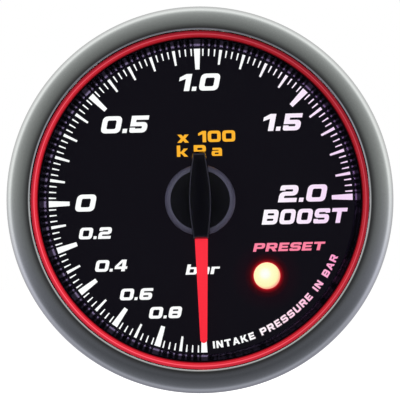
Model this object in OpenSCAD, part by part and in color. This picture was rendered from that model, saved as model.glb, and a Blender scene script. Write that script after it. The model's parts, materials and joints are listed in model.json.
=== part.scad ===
// Boost gauge for a round 60 mm pod: a geared stepping motor turns a lit pointer over a lit dial,
// inside a black cup that a quarter-round bezel closes.
// Each piece is drawn with the gauge's axis along z and its face towards +z. facing() then turns it
// so that the face looks along -Y and twelve o'clock is +Z. The origin is on the axis, in the plane
// where the bezel meets the panel.

/* [Bezel] */
// How far the bezel stands out past the barrel, all round
bezel_overhang = 2.2; // [1.8:0.1:3]
// Width of the flat between the bezel's quarter round and its inner edge
brow_flat = 0.5; // [0.4:0.05:1]
// Wall of the skirt that goes round the cup's flange
skirt_t = 1; // [0.6:0.1:1.3]
// Thickness of the lip that is rolled over behind the flange
rolled_lip_t = 0.8; // [0.5:0.1:1.2]
// Height of the bezel's crest over the glass
brow_h = 1.8; // [1.4:0.1:3]
// Rounding of the bezel's inner edge
brow_round = 0.35; // [0.1:0.05:0.4]
// Break on the bezel's rear edge
rear_break = 0.25; // [0.1:0.05:0.5]
// Dark gap that shows between the glow ring and the bezel
brow_reveal = 0.28; // [0.1:0.02:0.6]

/* [Lens] */
// Thickness of the glass
lens_t = 2; // [1.5:0.1:3]
// Thickness of the gasket behind the glass
gasket_t = 0.6; // [0.4:0.1:1]

/* [Cup] */
// Outer diameter of the barrel, for a 60 mm hole
barrel_d = 59.6; // [56:0.1:66]
// Wall of the barrel
barrel_wall = 1.8; // [1.4:0.05:2]
// Thickness of the rear wall
rear_wall = 2; // [1.8:0.1:3]
// Thickness of the flange that the bezel grips
flange_t = 1.2; // [0.8:0.1:2]
// Rounding of the barrel's rear edge
cup_round = 0.8; // [0.3:0.1:1.2]
// Radius of the posts that the main board rests on
post_r = 3; // [2.7:0.1:3.4]

/* [Dial] */
// Depth of the dial behind the glass
dial_depth = 9.3; // [9:0.1:14]
// Thickness of the printed dial
dial_t = 0.8; // [0.5:0.1:1.5]
// Wall of the glow ring
glow_wall = 0.9; // [0.6:0.1:1.3]
// Thickness of the liner at its front edge
liner_rim_t = 0.3; // [0.2:0.05:0.5]
// Thickness of the liner where it stands on the dial
liner_foot_t = 1; // [0.8:0.05:1.6]
// Radius of the hole in the dial that the pointer's shaft comes through
dial_hole_r = 2.1; // [1.5:0.1:2.5]

/* [Scale] */
// Gap between the liner's foot and the outer ends of the marks
mark_inset = 0.3; // [0.1:0.05:1]
// Length of the marks at 0.5 bar above zero and at 0.2 bar below it
major_len = 3.5; // [2.8:0.1:4]
// Length of the other marks at 0.1 bar
medium_len = 2.5; // [1.5:0.1:3]
// Length of the marks between those
minor_len = 1.2; // [0.8:0.1:2]
// Width of a major mark at its outer end
major_w = 1.06; // [0.6:0.02:1.3]
// Width of a medium mark at its outer end
medium_w = 0.5; // [0.3:0.02:0.7]
// Width of a minor mark
minor_w = 0.26; // [0.15:0.01:0.35]
// Thickness of the print
mark_t = 0.08; // [0.05:0.01:0.2]

/* [Pointer] */
// Radius of the round cap over the pointer's hub
cap_r = 5.9; // [5:0.1:7]
// Height of the cap's round part
cap_h = 2.7; // [2.4:0.1:3.4]
// Height of the rib across the top of the cap
rib_h = 1.6; // [1:0.1:2]
// Reach of the rib past the cap on the tail side
tail_reach = 2.2; // [1:0.1:4]
// Reach of the rib past the cap on the blade side
nose_reach = 0.6; // [0.3:0.1:1.2]
// Width of the rib where it crosses the centre
rib_w = 3.9; // [2.8:0.1:4.2]
// Width of the rib at the tail
tail_w = 2.05; // [1.6:0.05:2.6]
// Width of the blade where it leaves the cap
blade_root_w = 2.2; // [1.6:0.05:2.6]
// Width of the blade at its tip
blade_tip_w = 1.15; // [0.8:0.05:1.6]
// Thickness of the blade
blade_t = 1.2; // [0.8:0.1:1.6]
// Distance from the blade's tip to the outer ends of the marks
tip_short = 1.7; // [0.5:0.1:3]
// Height of the blade over the dial
blade_lift = 2.1; // [1.6:0.1:2.6]

/* [Lighting] */
// Thickness of the clear light guide behind the dial
guide_t = 2; // [1.5:0.1:3]
// Height of the white light box
box_h = 5; // [4.6:0.1:8]
// Wall of the light box
box_wall = 1.2; // [0.8:0.1:1.6]
// Radius of the warning lamp
lamp_r = 2.2; // [1.8:0.1:2.5]
// Height of the warning lamp's shallow dome
lamp_dome_h = 0.6; // [0.3:0.1:1]

/* [Boards] */
// Thickness of both circuit boards
board_t = 1.6; // [1:0.1:2]
// Width of the power board
power_w = 24; // [22:0.5:26]
// Room between the motor and the power board
power_gap = 3.9; // [3:0.1:8]
// Room between the power board and the rear wall
floor_gap = 1.4; // [1:0.1:3]

/* [Motor] */
// Thickness of the motor's case
motor_t = 9; // [8.8:0.1:10.5]
// Wall of the motor's case
motor_wall = 0.9; // [0.7:0.05:1]
// Radius of the steel shaft that carries the pointer
shaft_r = 0.75; // [0.6:0.05:0.9]
// Radius of the rotor's magnet
magnet_r = 2.2; // [1.8:0.1:2.3]
// Length of the rotor's magnet
magnet_h = 3; // [2.4:0.1:3.2]
// Thickness of the stator plate
stator_t = 1; // [0.6:0.1:1.2]

/* [Gears] */
// Module of the rotor's pinion and the idler's wheel
fast_module = 0.125; // [0.12:0.001:0.13]
// Module of the idler's pinion and the output wheel
slow_module = 0.14; // [0.135:0.001:0.145]
// Teeth on the idler's wheel
idler_teeth = 96; // [88:1:100]
// Teeth on the output wheel
output_teeth = 120; // [110:1:124]

/* [Rear] */
// Radius of the two mounting studs
stud_r = 2; // [1.5:0.1:2.5]
// Distance between the two studs
stud_spacing = 36; // [34:0.5:38]
// Length of the studs behind the rear wall
stud_len = 18; // [10:1:30]
// Length of the plug sockets
socket_len = 8; // [6:0.5:12]
// Wall of the plug sockets
socket_wall = 1; // [0.7:0.1:1.2]
// Pitch of the plug pins
pin_pitch = 2.5; // [2:0.1:2.54]

/* [Hidden] */

$fn = 96;
overrun = 0.5;
// Gap between pieces that drop into each other
slip = 0.1;
// Gap all round a shaft in its bearing
running = 0.05;
// Gap between pieces that are pressed or glued together
snug = 0.03;

// Radii, from the barrel inwards and outwards
barrel_r = barrel_d / 2;
bezel_r = barrel_r + bezel_overhang;
cavity_r = bezel_r - skirt_t;
flange_r = cavity_r - running;
neck_relief = 0.3;
neck_r = barrel_r - neck_relief;
bore_r = barrel_r - barrel_wall;
glow_out_r = bore_r - slip;
glow_in_r = glow_out_r - glow_wall;
opening_r = glow_out_r + brow_reveal;
lens_edge_gap = 0.4;
lens_r = cavity_r - lens_edge_gap;
gasket_in_r = bore_r + lens_edge_gap;
crest_r = bezel_r - opening_r - brow_flat;
liner_r = glow_in_r - slip;
liner_foot_r = liner_r - liner_foot_t;
mark_r = liner_foot_r - mark_inset;
board_r = bore_r - slip;

// Heights, from the panel's face forwards and backwards
rim_z = rolled_lip_t + flange_t;
lens_z = rim_z + gasket_t;
brow_z = lens_z + lens_t;
crest_z = brow_z + brow_h;
dial_z = lens_z - dial_depth;
guide_z = dial_z - dial_t;
box_z = guide_z - guide_t;
board_z = box_z - box_h;
board_rear_z = board_z - board_t;
motor_z = board_rear_z - motor_t;
power_z = motor_z - power_gap;
power_rear_z = power_z - board_t;
floor_z = power_rear_z - floor_gap;
back_z = floor_z - rear_wall;
blade_z = dial_z + blade_lift;
cap_z = blade_z + blade_t;
cap_top_z = cap_z + cap_h;
liner_top_z = lens_z - 3 * slip;
shaft_top_z = cap_top_z - cap_h / 3;

// Screws that clamp the movement to the cup's posts
screw_count = 3;
screw_r = 1.2;
screw_head_r = 2.3;
screw_head_h = 1.5;
screw_inset = 4.55;
screw_circle_r = board_r - screw_inset;

// Scale: 0.025 bar a mark, from -1 bar at six o'clock to 2 bar at three o'clock
mark_step = 2.25;
marks_below = 40;
marks_above = 80;
marks_medium = 4;
marks_major_below = 8;
marks_major_above = 20;
mark_taper_share = 0.66;

// Warning lamp, a share of the scale's radius from the axis
lamp_radius_share = 0.66;
lamp_angle = -50;
lamp_x = mark_r * lamp_radius_share * cos(lamp_angle);
lamp_y = mark_r * lamp_radius_share * sin(lamp_angle);
lamp_flange_h = 1;
lamp_flange_w = 0.4;
lamp_flange_r = lamp_r + lamp_flange_w;
lead_r = 0.25;
lead_pitch = 2.54;

// Backlight and ring lamps
backlight_count = 12;
backlight_w = 2.8;
backlight_h = 1.4;
backlight_circle_r = screw_circle_r - 1.25 * backlight_w;
backlight_first_angle = 15;
backlight_skipped_angle = -45;
ring_led_count = 12;
ring_led_w = 1.6;
ring_led_depth = 1.2;
ring_led_h = 0.8;
ring_led_circle_r = board_r - ring_led_depth / 2 - slip;
box_r = ring_led_circle_r - ring_led_depth / 2 - 2 * slip;

// Gear train: the output wheel is on the gauge's axis, and the rotor is straight below it. Both pinions
// are shifted outwards and both wheels inwards by the same share of a tooth. The idler stands where
// its two centre distances meet.
rotor_drop = 12;
pinion_teeth = 8;
pressure_angle = 20;
shift_share = 0.5;
addendum_share = 0.8;
dedendum_share = 1.05;
backlash_share = 0.12;
fast_distance = fast_module * (pinion_teeth + idler_teeth) / 2;
slow_distance = slow_module * (pinion_teeth + output_teeth) / 2;
idler_turn = acos((slow_distance * slow_distance + rotor_drop * rotor_drop - fast_distance * fast_distance)
    / (2 * slow_distance * rotor_drop));
idler_angle = -90 - idler_turn;
idler_x = slow_distance * cos(idler_angle);
idler_y = slow_distance * sin(idler_angle);
rotor_to_idler = atan2(idler_y + rotor_drop, idler_x);
idler_tip_r = fast_module * (idler_teeth / 2 + addendum_share - shift_share);
output_tip_r = slow_module * (output_teeth / 2 + addendum_share - shift_share);

// Stator and coils
limb_w = 2;
yoke_y = -5.9;
yoke_w = 1.6;
leg_w = 1.4;
rotor_hole_r = magnet_r + 3 * slip;
pole_r = rotor_hole_r + 1.7;
pole_slot_w = 0.4;
limb_y = -rotor_drop - pole_r - 6 * slip;
coil_mid_y = limb_y + limb_w / 2;
coil_flange_t = 0.5;
coil_flange_w = 4.8;
winding_w = 4.3;
terminal_r = 0.3;

// Motor's case, as large as the wheels and coils in it ask for
gear_room = 1;
motor_w = 2 * (idler_tip_r - idler_x + gear_room + motor_wall);
motor_top = output_tip_r + gear_room + motor_wall;
motor_bottom = coil_mid_y - coil_flange_w / 2 - 3 * slip - motor_wall;
motor_corner_r = 3.5;
seam_z = motor_z + motor_t * 0.7;
nose_r = 2.5;
nose_proud = 0.4;
arbor_r = 0.2;
pivot_depth = 0.45;
boss_r = 1.1;
boss_h = 0.5;
peg_r = 1.1;
peg_x = motor_w / 2 - motor_corner_r - slip;
peg_y = motor_top - motor_corner_r;
stator_half_w = motor_w / 2 - motor_wall - 3 * slip;
coil_from = pole_r + 7 * slip;
coil_len = stator_half_w - leg_w - 3 * slip - coil_from;

// Layers inside the motor, measured from its rear face
coil_z = motor_z + motor_wall + slip;
coil_h = 4.2;
stator_z = coil_z + (coil_h - stator_t) / 2;
magnet_z = coil_z + (coil_h - magnet_h) / 2;
rotor_pinion_z = magnet_z + magnet_h;
idler_wheel_z = coil_z + coil_h + 2 * slip;
idler_wheel_t = 0.6;
rotor_pinion_top_z = idler_wheel_z + idler_wheel_t + slip;
output_t = 1;
output_z = idler_wheel_z + 2 * idler_wheel_t;
idler_pinion_h = output_z + output_t - idler_wheel_z - idler_wheel_t;

// Parts on the boards. The chip stands to the left of the motor. To its right, the crystal stands over
// the lower right screw's post, and the capacitor over the crystal.
part_gap = 0.5;
chip_w = 7;
chip_h = 1.4;
chip_legs = 8;
leg_pitch = 0.8;
leg_len = 1;
chip_x = -(motor_w / 2 + part_gap + leg_len + chip_w / 2);
crystal_len = 11;
crystal_w = 4.5;
crystal_h = 3.4;
crystal_x = motor_w / 2 + part_gap + crystal_w / 2;
crystal_y = -screw_circle_r / 2 + post_r + part_gap + crystal_len / 2;
capacitor_r = 3.15;
capacitor_h = 7.7;
capacitor_x = motor_w / 2 + part_gap + capacitor_r;
capacitor_y = crystal_y + crystal_len / 2 + part_gap + capacitor_r;
resistor_len = 2;
resistor_w = 1.25;
resistor_h = 0.6;
regulator_w = 6.5;
regulator_d = 3.5;
regulator_h = 1.7;
diode_len = 4.3;
diode_w = 2.6;
diode_h = 2.1;

// Power board, its link to the main board, and the plug sockets
power_pin_count = 4;
sensor_pin_count = 3;
socket_y = 8;
sensor_y = -3.7;
cavity_w = 5.4;
cavity_side = 1.45;
socket_floor = 1.6;
socket_d = cavity_w + 2 * socket_wall;
link_count = 5;
link_pitch = 2;
link_h = 2.2;
link_w = 2.2;
link_pin_w = 0.5;
link_y = socket_y + socket_d / 2 + part_gap + link_w / 2;
power_top = link_y + link_w / 2 + part_gap;
power_bottom = sensor_y - socket_d / 2 - 4 * part_gap;
stake_r = 0.8;
stake_seat_r = 1.6;
stake_inset = 2.2;
plug_pin_w = 0.64;
plug_pin_short = 2;
key_w = 2.6;
key_depth = 3.5;

// Mounting studs
stud_head_r = 1.7 * stud_r;
stud_head_h = 2.2;
stud_boss_wall = 1;
stud_boss_r = stud_head_r + stud_boss_wall;
stud_boss_out_h = 0.8;
stud_chamfer = 0.5;
stud_shank_r = 1.2 * stud_r;
stud_seat_z = back_z - stud_boss_out_h;

// Involute of the base circle at radius rho, in degrees
function involute(base, rho) = let (a = acos(min(1, base / rho))) tan(a) * 180 / PI - a;

// Half a tooth's angle at radius rho
function tooth_angle(teeth, m, x, rho) =
    let (base = m * teeth / 2 * cos(pressure_angle))
    (90 + (2 * x * tan(pressure_angle) - backlash_share) * 180 / PI) / teeth
    + involute(base, m * teeth / 2) - involute(base, max(base, rho));

// Outline of a spur gear with a tooth on the x axis
function gear_outline(teeth, m, x, steps) =
    let (pitch_r = m * teeth / 2,
        base = pitch_r * cos(pressure_angle),
        root = pitch_r - m * (dedendum_share - x),
        tip = pitch_r + m * (addendum_share + x),
        start = max(base, root),
        radii = concat(root < base ? [root] : [],
            [for (k = [0 : steps]) start + (tip - start) * k / steps]))
    [for (t = [0 : teeth - 1]) let (at = t * 360 / teeth)
        each concat(
            [for (rho = radii) let (a = at - tooth_angle(teeth, m, x, rho)) rho * [cos(a), sin(a)]],
            [for (k = [len(radii) - 1 : -1 : 0])
                let (rho = radii[k], a = at + tooth_angle(teeth, m, x, rho)) rho * [cos(a), sin(a)]])];

// Turns a piece from its drawing position to the gauge's own frame
module facing() {
    rotate([90, 0, 0]) children();
}

module tube(r_out, r_in, low, high) {
    translate([0, 0, low]) difference() {
        cylinder(r = r_out, h = high - low);
        translate([0, 0, -overrun]) cylinder(r = r_in, h = high - low + 2 * overrun);
    }
}

module rod(r, low, high) {
    translate([0, 0, low]) cylinder(r = r, h = high - low);
}

// Plate from corner to corner, with round corners
module slab(low, high, from, to, r) {
    translate([0, 0, from]) linear_extrude(to - from) {
        translate([low.x + r, low.y]) square([high.x - low.x - 2 * r, high.y - low.y]);
        translate([low.x, low.y + r]) square([high.x - low.x, high.y - low.y - 2 * r]);
        for (x = [low.x + r, high.x - r]) for (y = [low.y + r, high.y - r]) translate([x, y]) circle(r = r);
    }
}

// Profile to be turned round the axis: a box between two radii and two heights
module profile_box(r_in, r_out, low, high) {
    translate([r_in, low]) square([r_out - r_in, high - low]);
}

// The same box with one corner rounded: side and top are 1 or -1 and say which corner
module profile_round(r_in, r_out, low, high, r, side, top) {
    centre = [side > 0 ? r_out - r : r_in + r, top > 0 ? high - r : low + r];
    difference() {
        profile_box(r_in, r_out, low, high);
        translate([side > 0 ? centre.x : centre.x - 2 * r, top > 0 ? centre.y : centre.y - 2 * r])
            square(2 * r);
    }
    intersection() {
        profile_box(r_in, r_out, low, high);
        translate(centre) circle(r = r);
    }
}

module block(w, d, low, high) {
    translate([-w / 2, -d / 2, low]) cube([w, d, high - low]);
}

module at_screws() {
    for (i = [0 : screw_count - 1])
        rotate(90 + i * 360 / screw_count) translate([screw_circle_r, 0, 0]) children();
}

module at_idler() {
    translate([idler_x, idler_y, 0]) children();
}

module at_rotor() {
    translate([0, -rotor_drop, 0]) children();
}

module at_terminals() {
    for (side = [-1, 1])
        for (x = [coil_from + coil_flange_t / 2, coil_from + coil_len - coil_flange_t / 2])
            translate([side * x, coil_mid_y, 0]) children();
}

module at_pegs() {
    for (side = [-1, 1]) translate([side * peg_x, peg_y, 0]) children();
}

module at_stakes() {
    for (x = [-1, 1])
        for (y = [power_bottom + stake_inset, power_top - stake_inset])
            translate([x * (power_w / 2 - stake_inset), y, 0]) children();
}

module at_studs() {
    for (side = [-1, 1]) translate([side * stud_spacing / 2, 0, 0]) children();
}

// Turned ring: a quarter round over the glass, a skirt round the flange, and a lip rolled behind it
module bezel_ring() {
    color("#6c7170") facing() rotate_extrude() {
        profile_round(opening_r, opening_r + brow_flat, brow_z, crest_z, brow_round, -1, 1);
        difference() {
            profile_round(opening_r + brow_flat / 2, bezel_r, rolled_lip_t, crest_z, crest_r, 1, 1);
            profile_box(0, cavity_r, 0, brow_z);
        }
        profile_round(barrel_r + slip, bezel_r, 0, rolled_lip_t, rear_break, 1, -1);
    }
}

module lens_glass() {
    color("#c8d4da", 0.35) facing() rod(lens_r, lens_z, brow_z);
}

module lens_gasket() {
    color("#1a1a1a") facing() tube(lens_r, gasket_in_r, rim_z, lens_z);
}

module housing_cup() {
    color("#18191b") facing() difference() {
        union() {
            rotate_extrude() difference() {
                union() {
                    profile_round(0, barrel_r, back_z, 0, cup_round, 1, -1);
                    profile_box(0, neck_r, back_z / 2, rim_z);
                    profile_box(0, flange_r, rolled_lip_t, rim_z);
                }
                profile_box(0, bore_r, floor_z, rim_z + overrun);
            }
            at_screws() rod(post_r, floor_z - overrun, board_rear_z);
            at_stakes() rod(stake_seat_r, floor_z - overrun, power_rear_z);
            at_stakes() rod(stake_r, floor_z - overrun, power_z + board_t / 4);
            at_studs() rod(stud_boss_r, stud_seat_z, floor_z + stud_head_h);
        }
        at_screws() rod(screw_r + slip, back_z - overrun, board_rear_z + overrun);
        at_screws() rod(screw_head_r + slip, back_z - overrun, back_z + screw_head_h);
        at_studs() rod(stud_shank_r + snug, stud_seat_z - overrun, floor_z + overrun);
        at_studs() rod(stud_head_r + snug, floor_z, floor_z + stud_head_h + overrun);
        socket_window(power_pin_count, socket_y);
        socket_window(sensor_pin_count, sensor_y);
    }
}

// Square hole in the rear wall that a plug socket stands in
module socket_window(pins, y) {
    translate([0, y, 0])
        block(socket_w(pins) + 2 * slip, socket_d + 2 * slip, back_z - overrun, floor_z + overrun);
}

// Red light guide: a thin tube that stands over the ring of lamps and ends in a round rim
module glow_ring() {
    dome_r = glow_wall / 2;
    color("#e0263a") facing() rotate_extrude() {
        profile_box(glow_in_r, glow_out_r, board_z + ring_led_h + slip, lens_z - slip - dome_r);
        translate([glow_in_r + dome_r, lens_z - slip - dome_r]) circle(r = dome_r);
    }
}

module dial_liner() {
    color("#0d0d10") facing() rotate_extrude() polygon([
        [liner_foot_r, dial_z], [liner_r, dial_z], [liner_r, liner_top_z],
        [liner_r - liner_rim_t, liner_top_z]]);
}

module dial_plate() {
    color("#101013") facing() difference() {
        rod(liner_r, guide_z, dial_z);
        rod(dial_hole_r, guide_z - overrun, dial_z + overrun);
        translate([lamp_x, lamp_y, 0]) rod(lamp_r + slip / 2, guide_z - overrun, dial_z + overrun);
    }
}

module mark(length, width) {
    inner = width * mark_taper_share / 2;
    translate([0, 0, dial_z]) linear_extrude(mark_t) polygon([
        [mark_r - length, -inner], [mark_r, -width / 2], [mark_r, width / 2], [mark_r - length, inner]]);
}

module scale_marks() {
    color("white") facing() for (i = [-marks_below : marks_above])
        rotate(180 - i * mark_step)
            if (i < 0 ? i % marks_major_below == 0 : i % marks_major_above == 0) mark(major_len, major_w);
            else if (i % marks_medium == 0) mark(medium_len, medium_w);
            else mark(minor_len, minor_w);
}

module light_guide() {
    color("#e9f0f2") facing() difference() {
        rod(liner_r, box_z, guide_z);
        rod(dial_hole_r, box_z - overrun, guide_z + overrun);
        translate([lamp_x, lamp_y, 0]) rod(lamp_r + slip, box_z - overrun, guide_z + overrun);
    }
}

// White box that spreads the lamps' light: an open ring with ribs, a sleeve round the shaft,
// a sleeve that keeps the warning lamp's light to itself, and three bosses for the screws
module light_box() {
    sleeve_r = nose_r + 2 * slip;
    lamp_sleeve_r = lamp_flange_r + slip;
    lamp_distance = mark_r * lamp_radius_share;
    color("#f2f2ee") facing() difference() {
        translate([0, 0, board_z]) linear_extrude(box_h) difference() {
            union() {
                difference() {
                    circle(box_r);
                    circle(box_r - box_wall);
                }
                circle(sleeve_r + box_wall);
                translate([lamp_x, lamp_y]) circle(lamp_sleeve_r + box_wall);
                at_screws() circle(screw_r + box_wall);
                for (a = [30 : 60 : 330])
                    rotate(a) light_box_rib(a == 90 ? link_y + link_w : sleeve_r + box_wall / 2);
                rotate(lamp_angle) light_box_rib(lamp_distance + lamp_sleeve_r + box_wall / 2);
            }
            circle(sleeve_r);
            translate([lamp_x, lamp_y]) circle(lamp_sleeve_r);
        }
        at_screws() rod(screw_r + snug, board_z - overrun, box_z - box_wall);
    }
}

// Outline of a rib, from a distance off the axis into the box's outer wall
module light_box_rib(from) {
    rib_t = box_wall * 2 / 3;
    translate([from, -rib_t / 2]) square([box_r - box_wall / 2 - from, rib_t]);
}

module backlight_leds() {
    color("#f4efc8") facing() for (i = [0 : backlight_count - 1])
        let (a = backlight_first_angle + i * 360 / backlight_count)
            if (a - 360 != backlight_skipped_angle)
                rotate(a) translate([backlight_circle_r, 0, 0]) difference() {
                    block(backlight_w, backlight_w, board_z, board_z + backlight_h);
                    rod(backlight_w / 3, board_z + backlight_h * 0.8, board_z + backlight_h + overrun);
                }
}

module ring_leds() {
    color("#f6d5d2") facing() for (i = [0 : ring_led_count - 1])
        rotate(i * 360 / ring_led_count) translate([ring_led_circle_r, 0, 0])
            block(ring_led_depth, ring_led_w, board_z, board_z + ring_led_h);
}

module warning_lamp() {
    foot_z = board_z + board_t / 2;
    edge_z = dial_z - lamp_dome_h / 2;
    dome_r = (lamp_r * lamp_r + lamp_dome_h * lamp_dome_h) / (2 * lamp_dome_h);
    color("#f2e6b0") facing() translate([lamp_x, lamp_y, 0]) rotate_extrude() {
        profile_box(0, lamp_r, foot_z, edge_z);
        profile_box(0, lamp_flange_r, foot_z, foot_z + lamp_flange_h);
        intersection() {
            translate([0, edge_z + lamp_dome_h - dome_r]) circle(r = dome_r);
            profile_box(0, lamp_r, edge_z, edge_z + lamp_dome_h);
        }
    }
}

module lamp_leads() {
    color("silver") facing() translate([lamp_x, lamp_y, 0])
        for (side = [-1, 1]) translate([side * lead_pitch / 2, 0, 0])
            rod(lead_r, board_rear_z + slip, board_z + board_t / 2);
}

module main_board() {
    color("#1d5b3a") facing() difference() {
        rod(board_r, board_rear_z, board_z);
        rod(nose_r + slip, board_rear_z - overrun, board_z + overrun);
        at_screws() rod(screw_r + slip, board_rear_z - overrun, board_z + overrun);
        at_pegs() rod(peg_r + slip, board_rear_z - overrun, board_z + overrun);
        at_terminals() rod(terminal_r + slip, board_rear_z - overrun, board_z + overrun);
        translate([lamp_x, lamp_y, 0]) for (side = [-1, 1]) translate([side * lead_pitch / 2, 0, 0])
            rod(lead_r + slip, board_rear_z - overrun, board_z + overrun);
        link_holes(slip, board_rear_z, board_z);
    }
}

module controller_chip() {
    color("#202124") facing() translate([chip_x, 0, 0]) difference() {
        block(chip_w, chip_w, board_rear_z - chip_h, board_rear_z - slip);
        translate([-chip_w / 3, chip_w / 3, 0])
            rod(chip_w / 14, board_rear_z - chip_h - overrun, board_rear_z - chip_h * 0.9);
    }
}

// Each leg leaves the chip's side at half its height, drops to the board and turns outwards
module controller_legs() {
    leg_w = leg_pitch / 2;
    foot_h = chip_h / 6;
    color("silver") facing() translate([chip_x, 0, 0])
        for (side = [0 : 90 : 270]) rotate(side)
            for (i = [0 : chip_legs - 1])
                translate([chip_w / 2, (i - (chip_legs - 1) / 2) * leg_pitch - leg_w / 2, board_rear_z]) {
                    translate([0, 0, -chip_h / 2]) cube([leg_len / 2, leg_w, chip_h / 2]);
                    translate([leg_len / 2, 0, -foot_h]) cube([leg_len / 2, leg_w, foot_h]);
                }
}

module crystal() {
    color("#c9c9c6") facing() translate([crystal_x, crystal_y, 0])
        slab([-crystal_w / 2, -crystal_len / 2], [crystal_w / 2, crystal_len / 2],
            board_rear_z - crystal_h, board_rear_z, crystal_w * 0.45);
}

// Chip resistors in two short rows, left and right of the link between the boards
module board_resistors() {
    color("#3a3733") facing() for (side = [-1, 1]) for (i = [1 : 4])
        translate([side * (link_count * link_pitch / 2 + i * 2 * resistor_w), link_y, 0])
            block(resistor_w, resistor_len, board_rear_z - resistor_h, board_rear_z);
}

module smoothing_capacitor() {
    groove = capacitor_r / 16;
    groove_z = board_rear_z - 3 * groove;
    top_z = board_rear_z - capacitor_h;
    color("#2c3446") facing() translate([capacitor_x, capacitor_y, 0]) rotate_extrude() polygon([
        [0, board_rear_z], [capacitor_r, board_rear_z], [capacitor_r, groove_z + groove],
        [capacitor_r - groove, groove_z], [capacitor_r, groove_z - groove],
        [capacitor_r, top_z + groove], [capacitor_r - groove, top_z], [0, top_z]]);
}

module power_board() {
    color("#1d5b3a") facing() difference() {
        slab([-power_w / 2, power_bottom], [power_w / 2, power_top], power_rear_z, power_z,
            stake_inset / 2);
        at_stakes() rod(stake_r + slip, power_rear_z - overrun, power_z + overrun);
        link_holes(slip, power_rear_z, power_z);
        plug_holes(power_pin_count, socket_y, slip, power_rear_z, power_z);
        plug_holes(sensor_pin_count, sensor_y, slip, power_rear_z, power_z);
    }
}

module voltage_regulator() {
    color("#222326") facing() translate([-(power_w - regulator_w) / 2 + slip, sensor_y / 2, 0]) {
        block(regulator_w, regulator_d, power_z, power_z + regulator_h);
        block(regulator_w / 2, regulator_d * 2, power_z, power_z + regulator_h / 4);
    }
}

module power_diode() {
    color("#26262a") facing() translate([(power_w - diode_len) / 2 - slip, sensor_y / 2, 0])
        block(diode_len, diode_w, power_z, power_z + diode_h);
}

module at_link_pins() {
    for (i = [0 : link_count - 1])
        translate([(i - (link_count - 1) / 2) * link_pitch, link_y, 0]) children();
}

// Square holes for the link's pins
module link_holes(gap, low, high) {
    at_link_pins() block(link_pin_w + 2 * gap, link_pin_w + 2 * gap, low - overrun, high + overrun);
}

// Square holes for a socket's pins
module plug_holes(pins, y, gap, low, high) {
    at_plug_pins(pins, y) block(plug_pin_w + 2 * gap, plug_pin_w + 2 * gap, low - overrun, high + overrun);
}

// Two plastic strips that hold the row of pins between the boards
module board_link() {
    color("#17181a") facing() for (low = [power_z, board_rear_z - link_h]) difference() {
        translate([0, link_y, 0]) block(link_count * link_pitch, link_w, low, low + link_h);
        link_holes(snug, low, low + link_h);
    }
}

// Pins of the link, flush with the front of the main board, where lamps may stand over them
module link_pins() {
    color("gold") facing() at_link_pins()
        block(link_pin_w, link_pin_w, power_rear_z - board_t / 2, board_z);
}

function socket_w(pins) = (pins - 1) * pin_pitch + 2 * cavity_side + 2 * socket_wall;

module at_plug_pins(pins, y) {
    for (i = [0 : pins - 1]) translate([(i - (pins - 1) / 2) * pin_pitch, y, 0]) children();
}

// Open shroud with a keyway in its upper wall, soldered to the rear of the power board
module socket(pins, y) {
    mouth_z = power_rear_z - socket_len;
    difference() {
        translate([0, y, 0]) block(socket_w(pins), socket_d, mouth_z, power_rear_z);
        translate([0, y, 0]) block(socket_w(pins) - 2 * socket_wall, cavity_w,
            mouth_z - overrun, power_rear_z - socket_floor);
        translate([0, y + socket_d / 2, 0])
            block(key_w, 2 * socket_wall + overrun, mouth_z - overrun, mouth_z + key_depth);
        plug_holes(pins, y, snug, power_rear_z - socket_floor, power_rear_z);
    }
}

module plug_pins(pins, y) {
    at_plug_pins(pins, y) block(plug_pin_w, plug_pin_w,
        power_rear_z - socket_len + plug_pin_short, power_z + board_t / 2);
}

module power_socket() {
    color("#ece7d8") facing() socket(power_pin_count, socket_y);
}

module power_pins() {
    color("gold") facing() plug_pins(power_pin_count, socket_y);
}

module sensor_socket() {
    color("#ece7d8") facing() socket(sensor_pin_count, sensor_y);
}

module sensor_pins() {
    color("gold") facing() plug_pins(sensor_pin_count, sensor_y);
}

module motor_block(low, high, inset) {
    slab([-motor_w / 2 + inset, motor_bottom + inset], [motor_w / 2 - inset, motor_top - inset],
        low, high, motor_corner_r - inset);
}

module motor_rear_case() {
    inner_z = motor_z + motor_wall;
    color("#26282b") facing() difference() {
        union() {
            difference() {
                motor_block(motor_z, seam_z, 0);
                motor_block(inner_z, seam_z + overrun, motor_wall);
            }
            rod(boss_r + shaft_r, inner_z - motor_wall / 2, output_z - boss_h);
            at_idler() rod(boss_r, inner_z - motor_wall / 2, idler_wheel_z - boss_h);
            for (side = [-1, 1]) for (y = [limb_y + leg_w / 2, yoke_y + yoke_w / 2])
                translate([side * (stator_half_w - leg_w / 2), y, 0])
                    rod(leg_w / 2, inner_z - motor_wall / 2, stator_z);
        }
        rod(shaft_r + running, inner_z - pivot_depth, output_z);
        at_idler() rod(arbor_r + running, inner_z - pivot_depth, idler_wheel_z);
        at_rotor() rod(arbor_r + running, inner_z - pivot_depth, inner_z + overrun);
    }
}

module motor_front_case() {
    inner_z = board_rear_z - motor_wall;
    color("#26282b") facing() difference() {
        union() {
            difference() {
                motor_block(seam_z, board_rear_z, 0);
                motor_block(seam_z - overrun, inner_z, motor_wall);
            }
            rod(nose_r, inner_z, board_z + nose_proud);
            at_pegs() rod(peg_r, inner_z, board_z - slip);
            at_rotor() rod(boss_r, rotor_pinion_top_z + slip, inner_z + motor_wall / 2);
        }
        rod(shaft_r + running, inner_z - overrun, board_z + nose_proud + overrun);
        at_idler() rod(arbor_r + running, inner_z - overrun, inner_z + pivot_depth);
        at_rotor() rod(arbor_r + running, rotor_pinion_top_z - overrun, inner_z + pivot_depth);
        at_terminals() rod(terminal_r + slip, inner_z - overrun, board_rear_z + overrun);
    }
}

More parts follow.
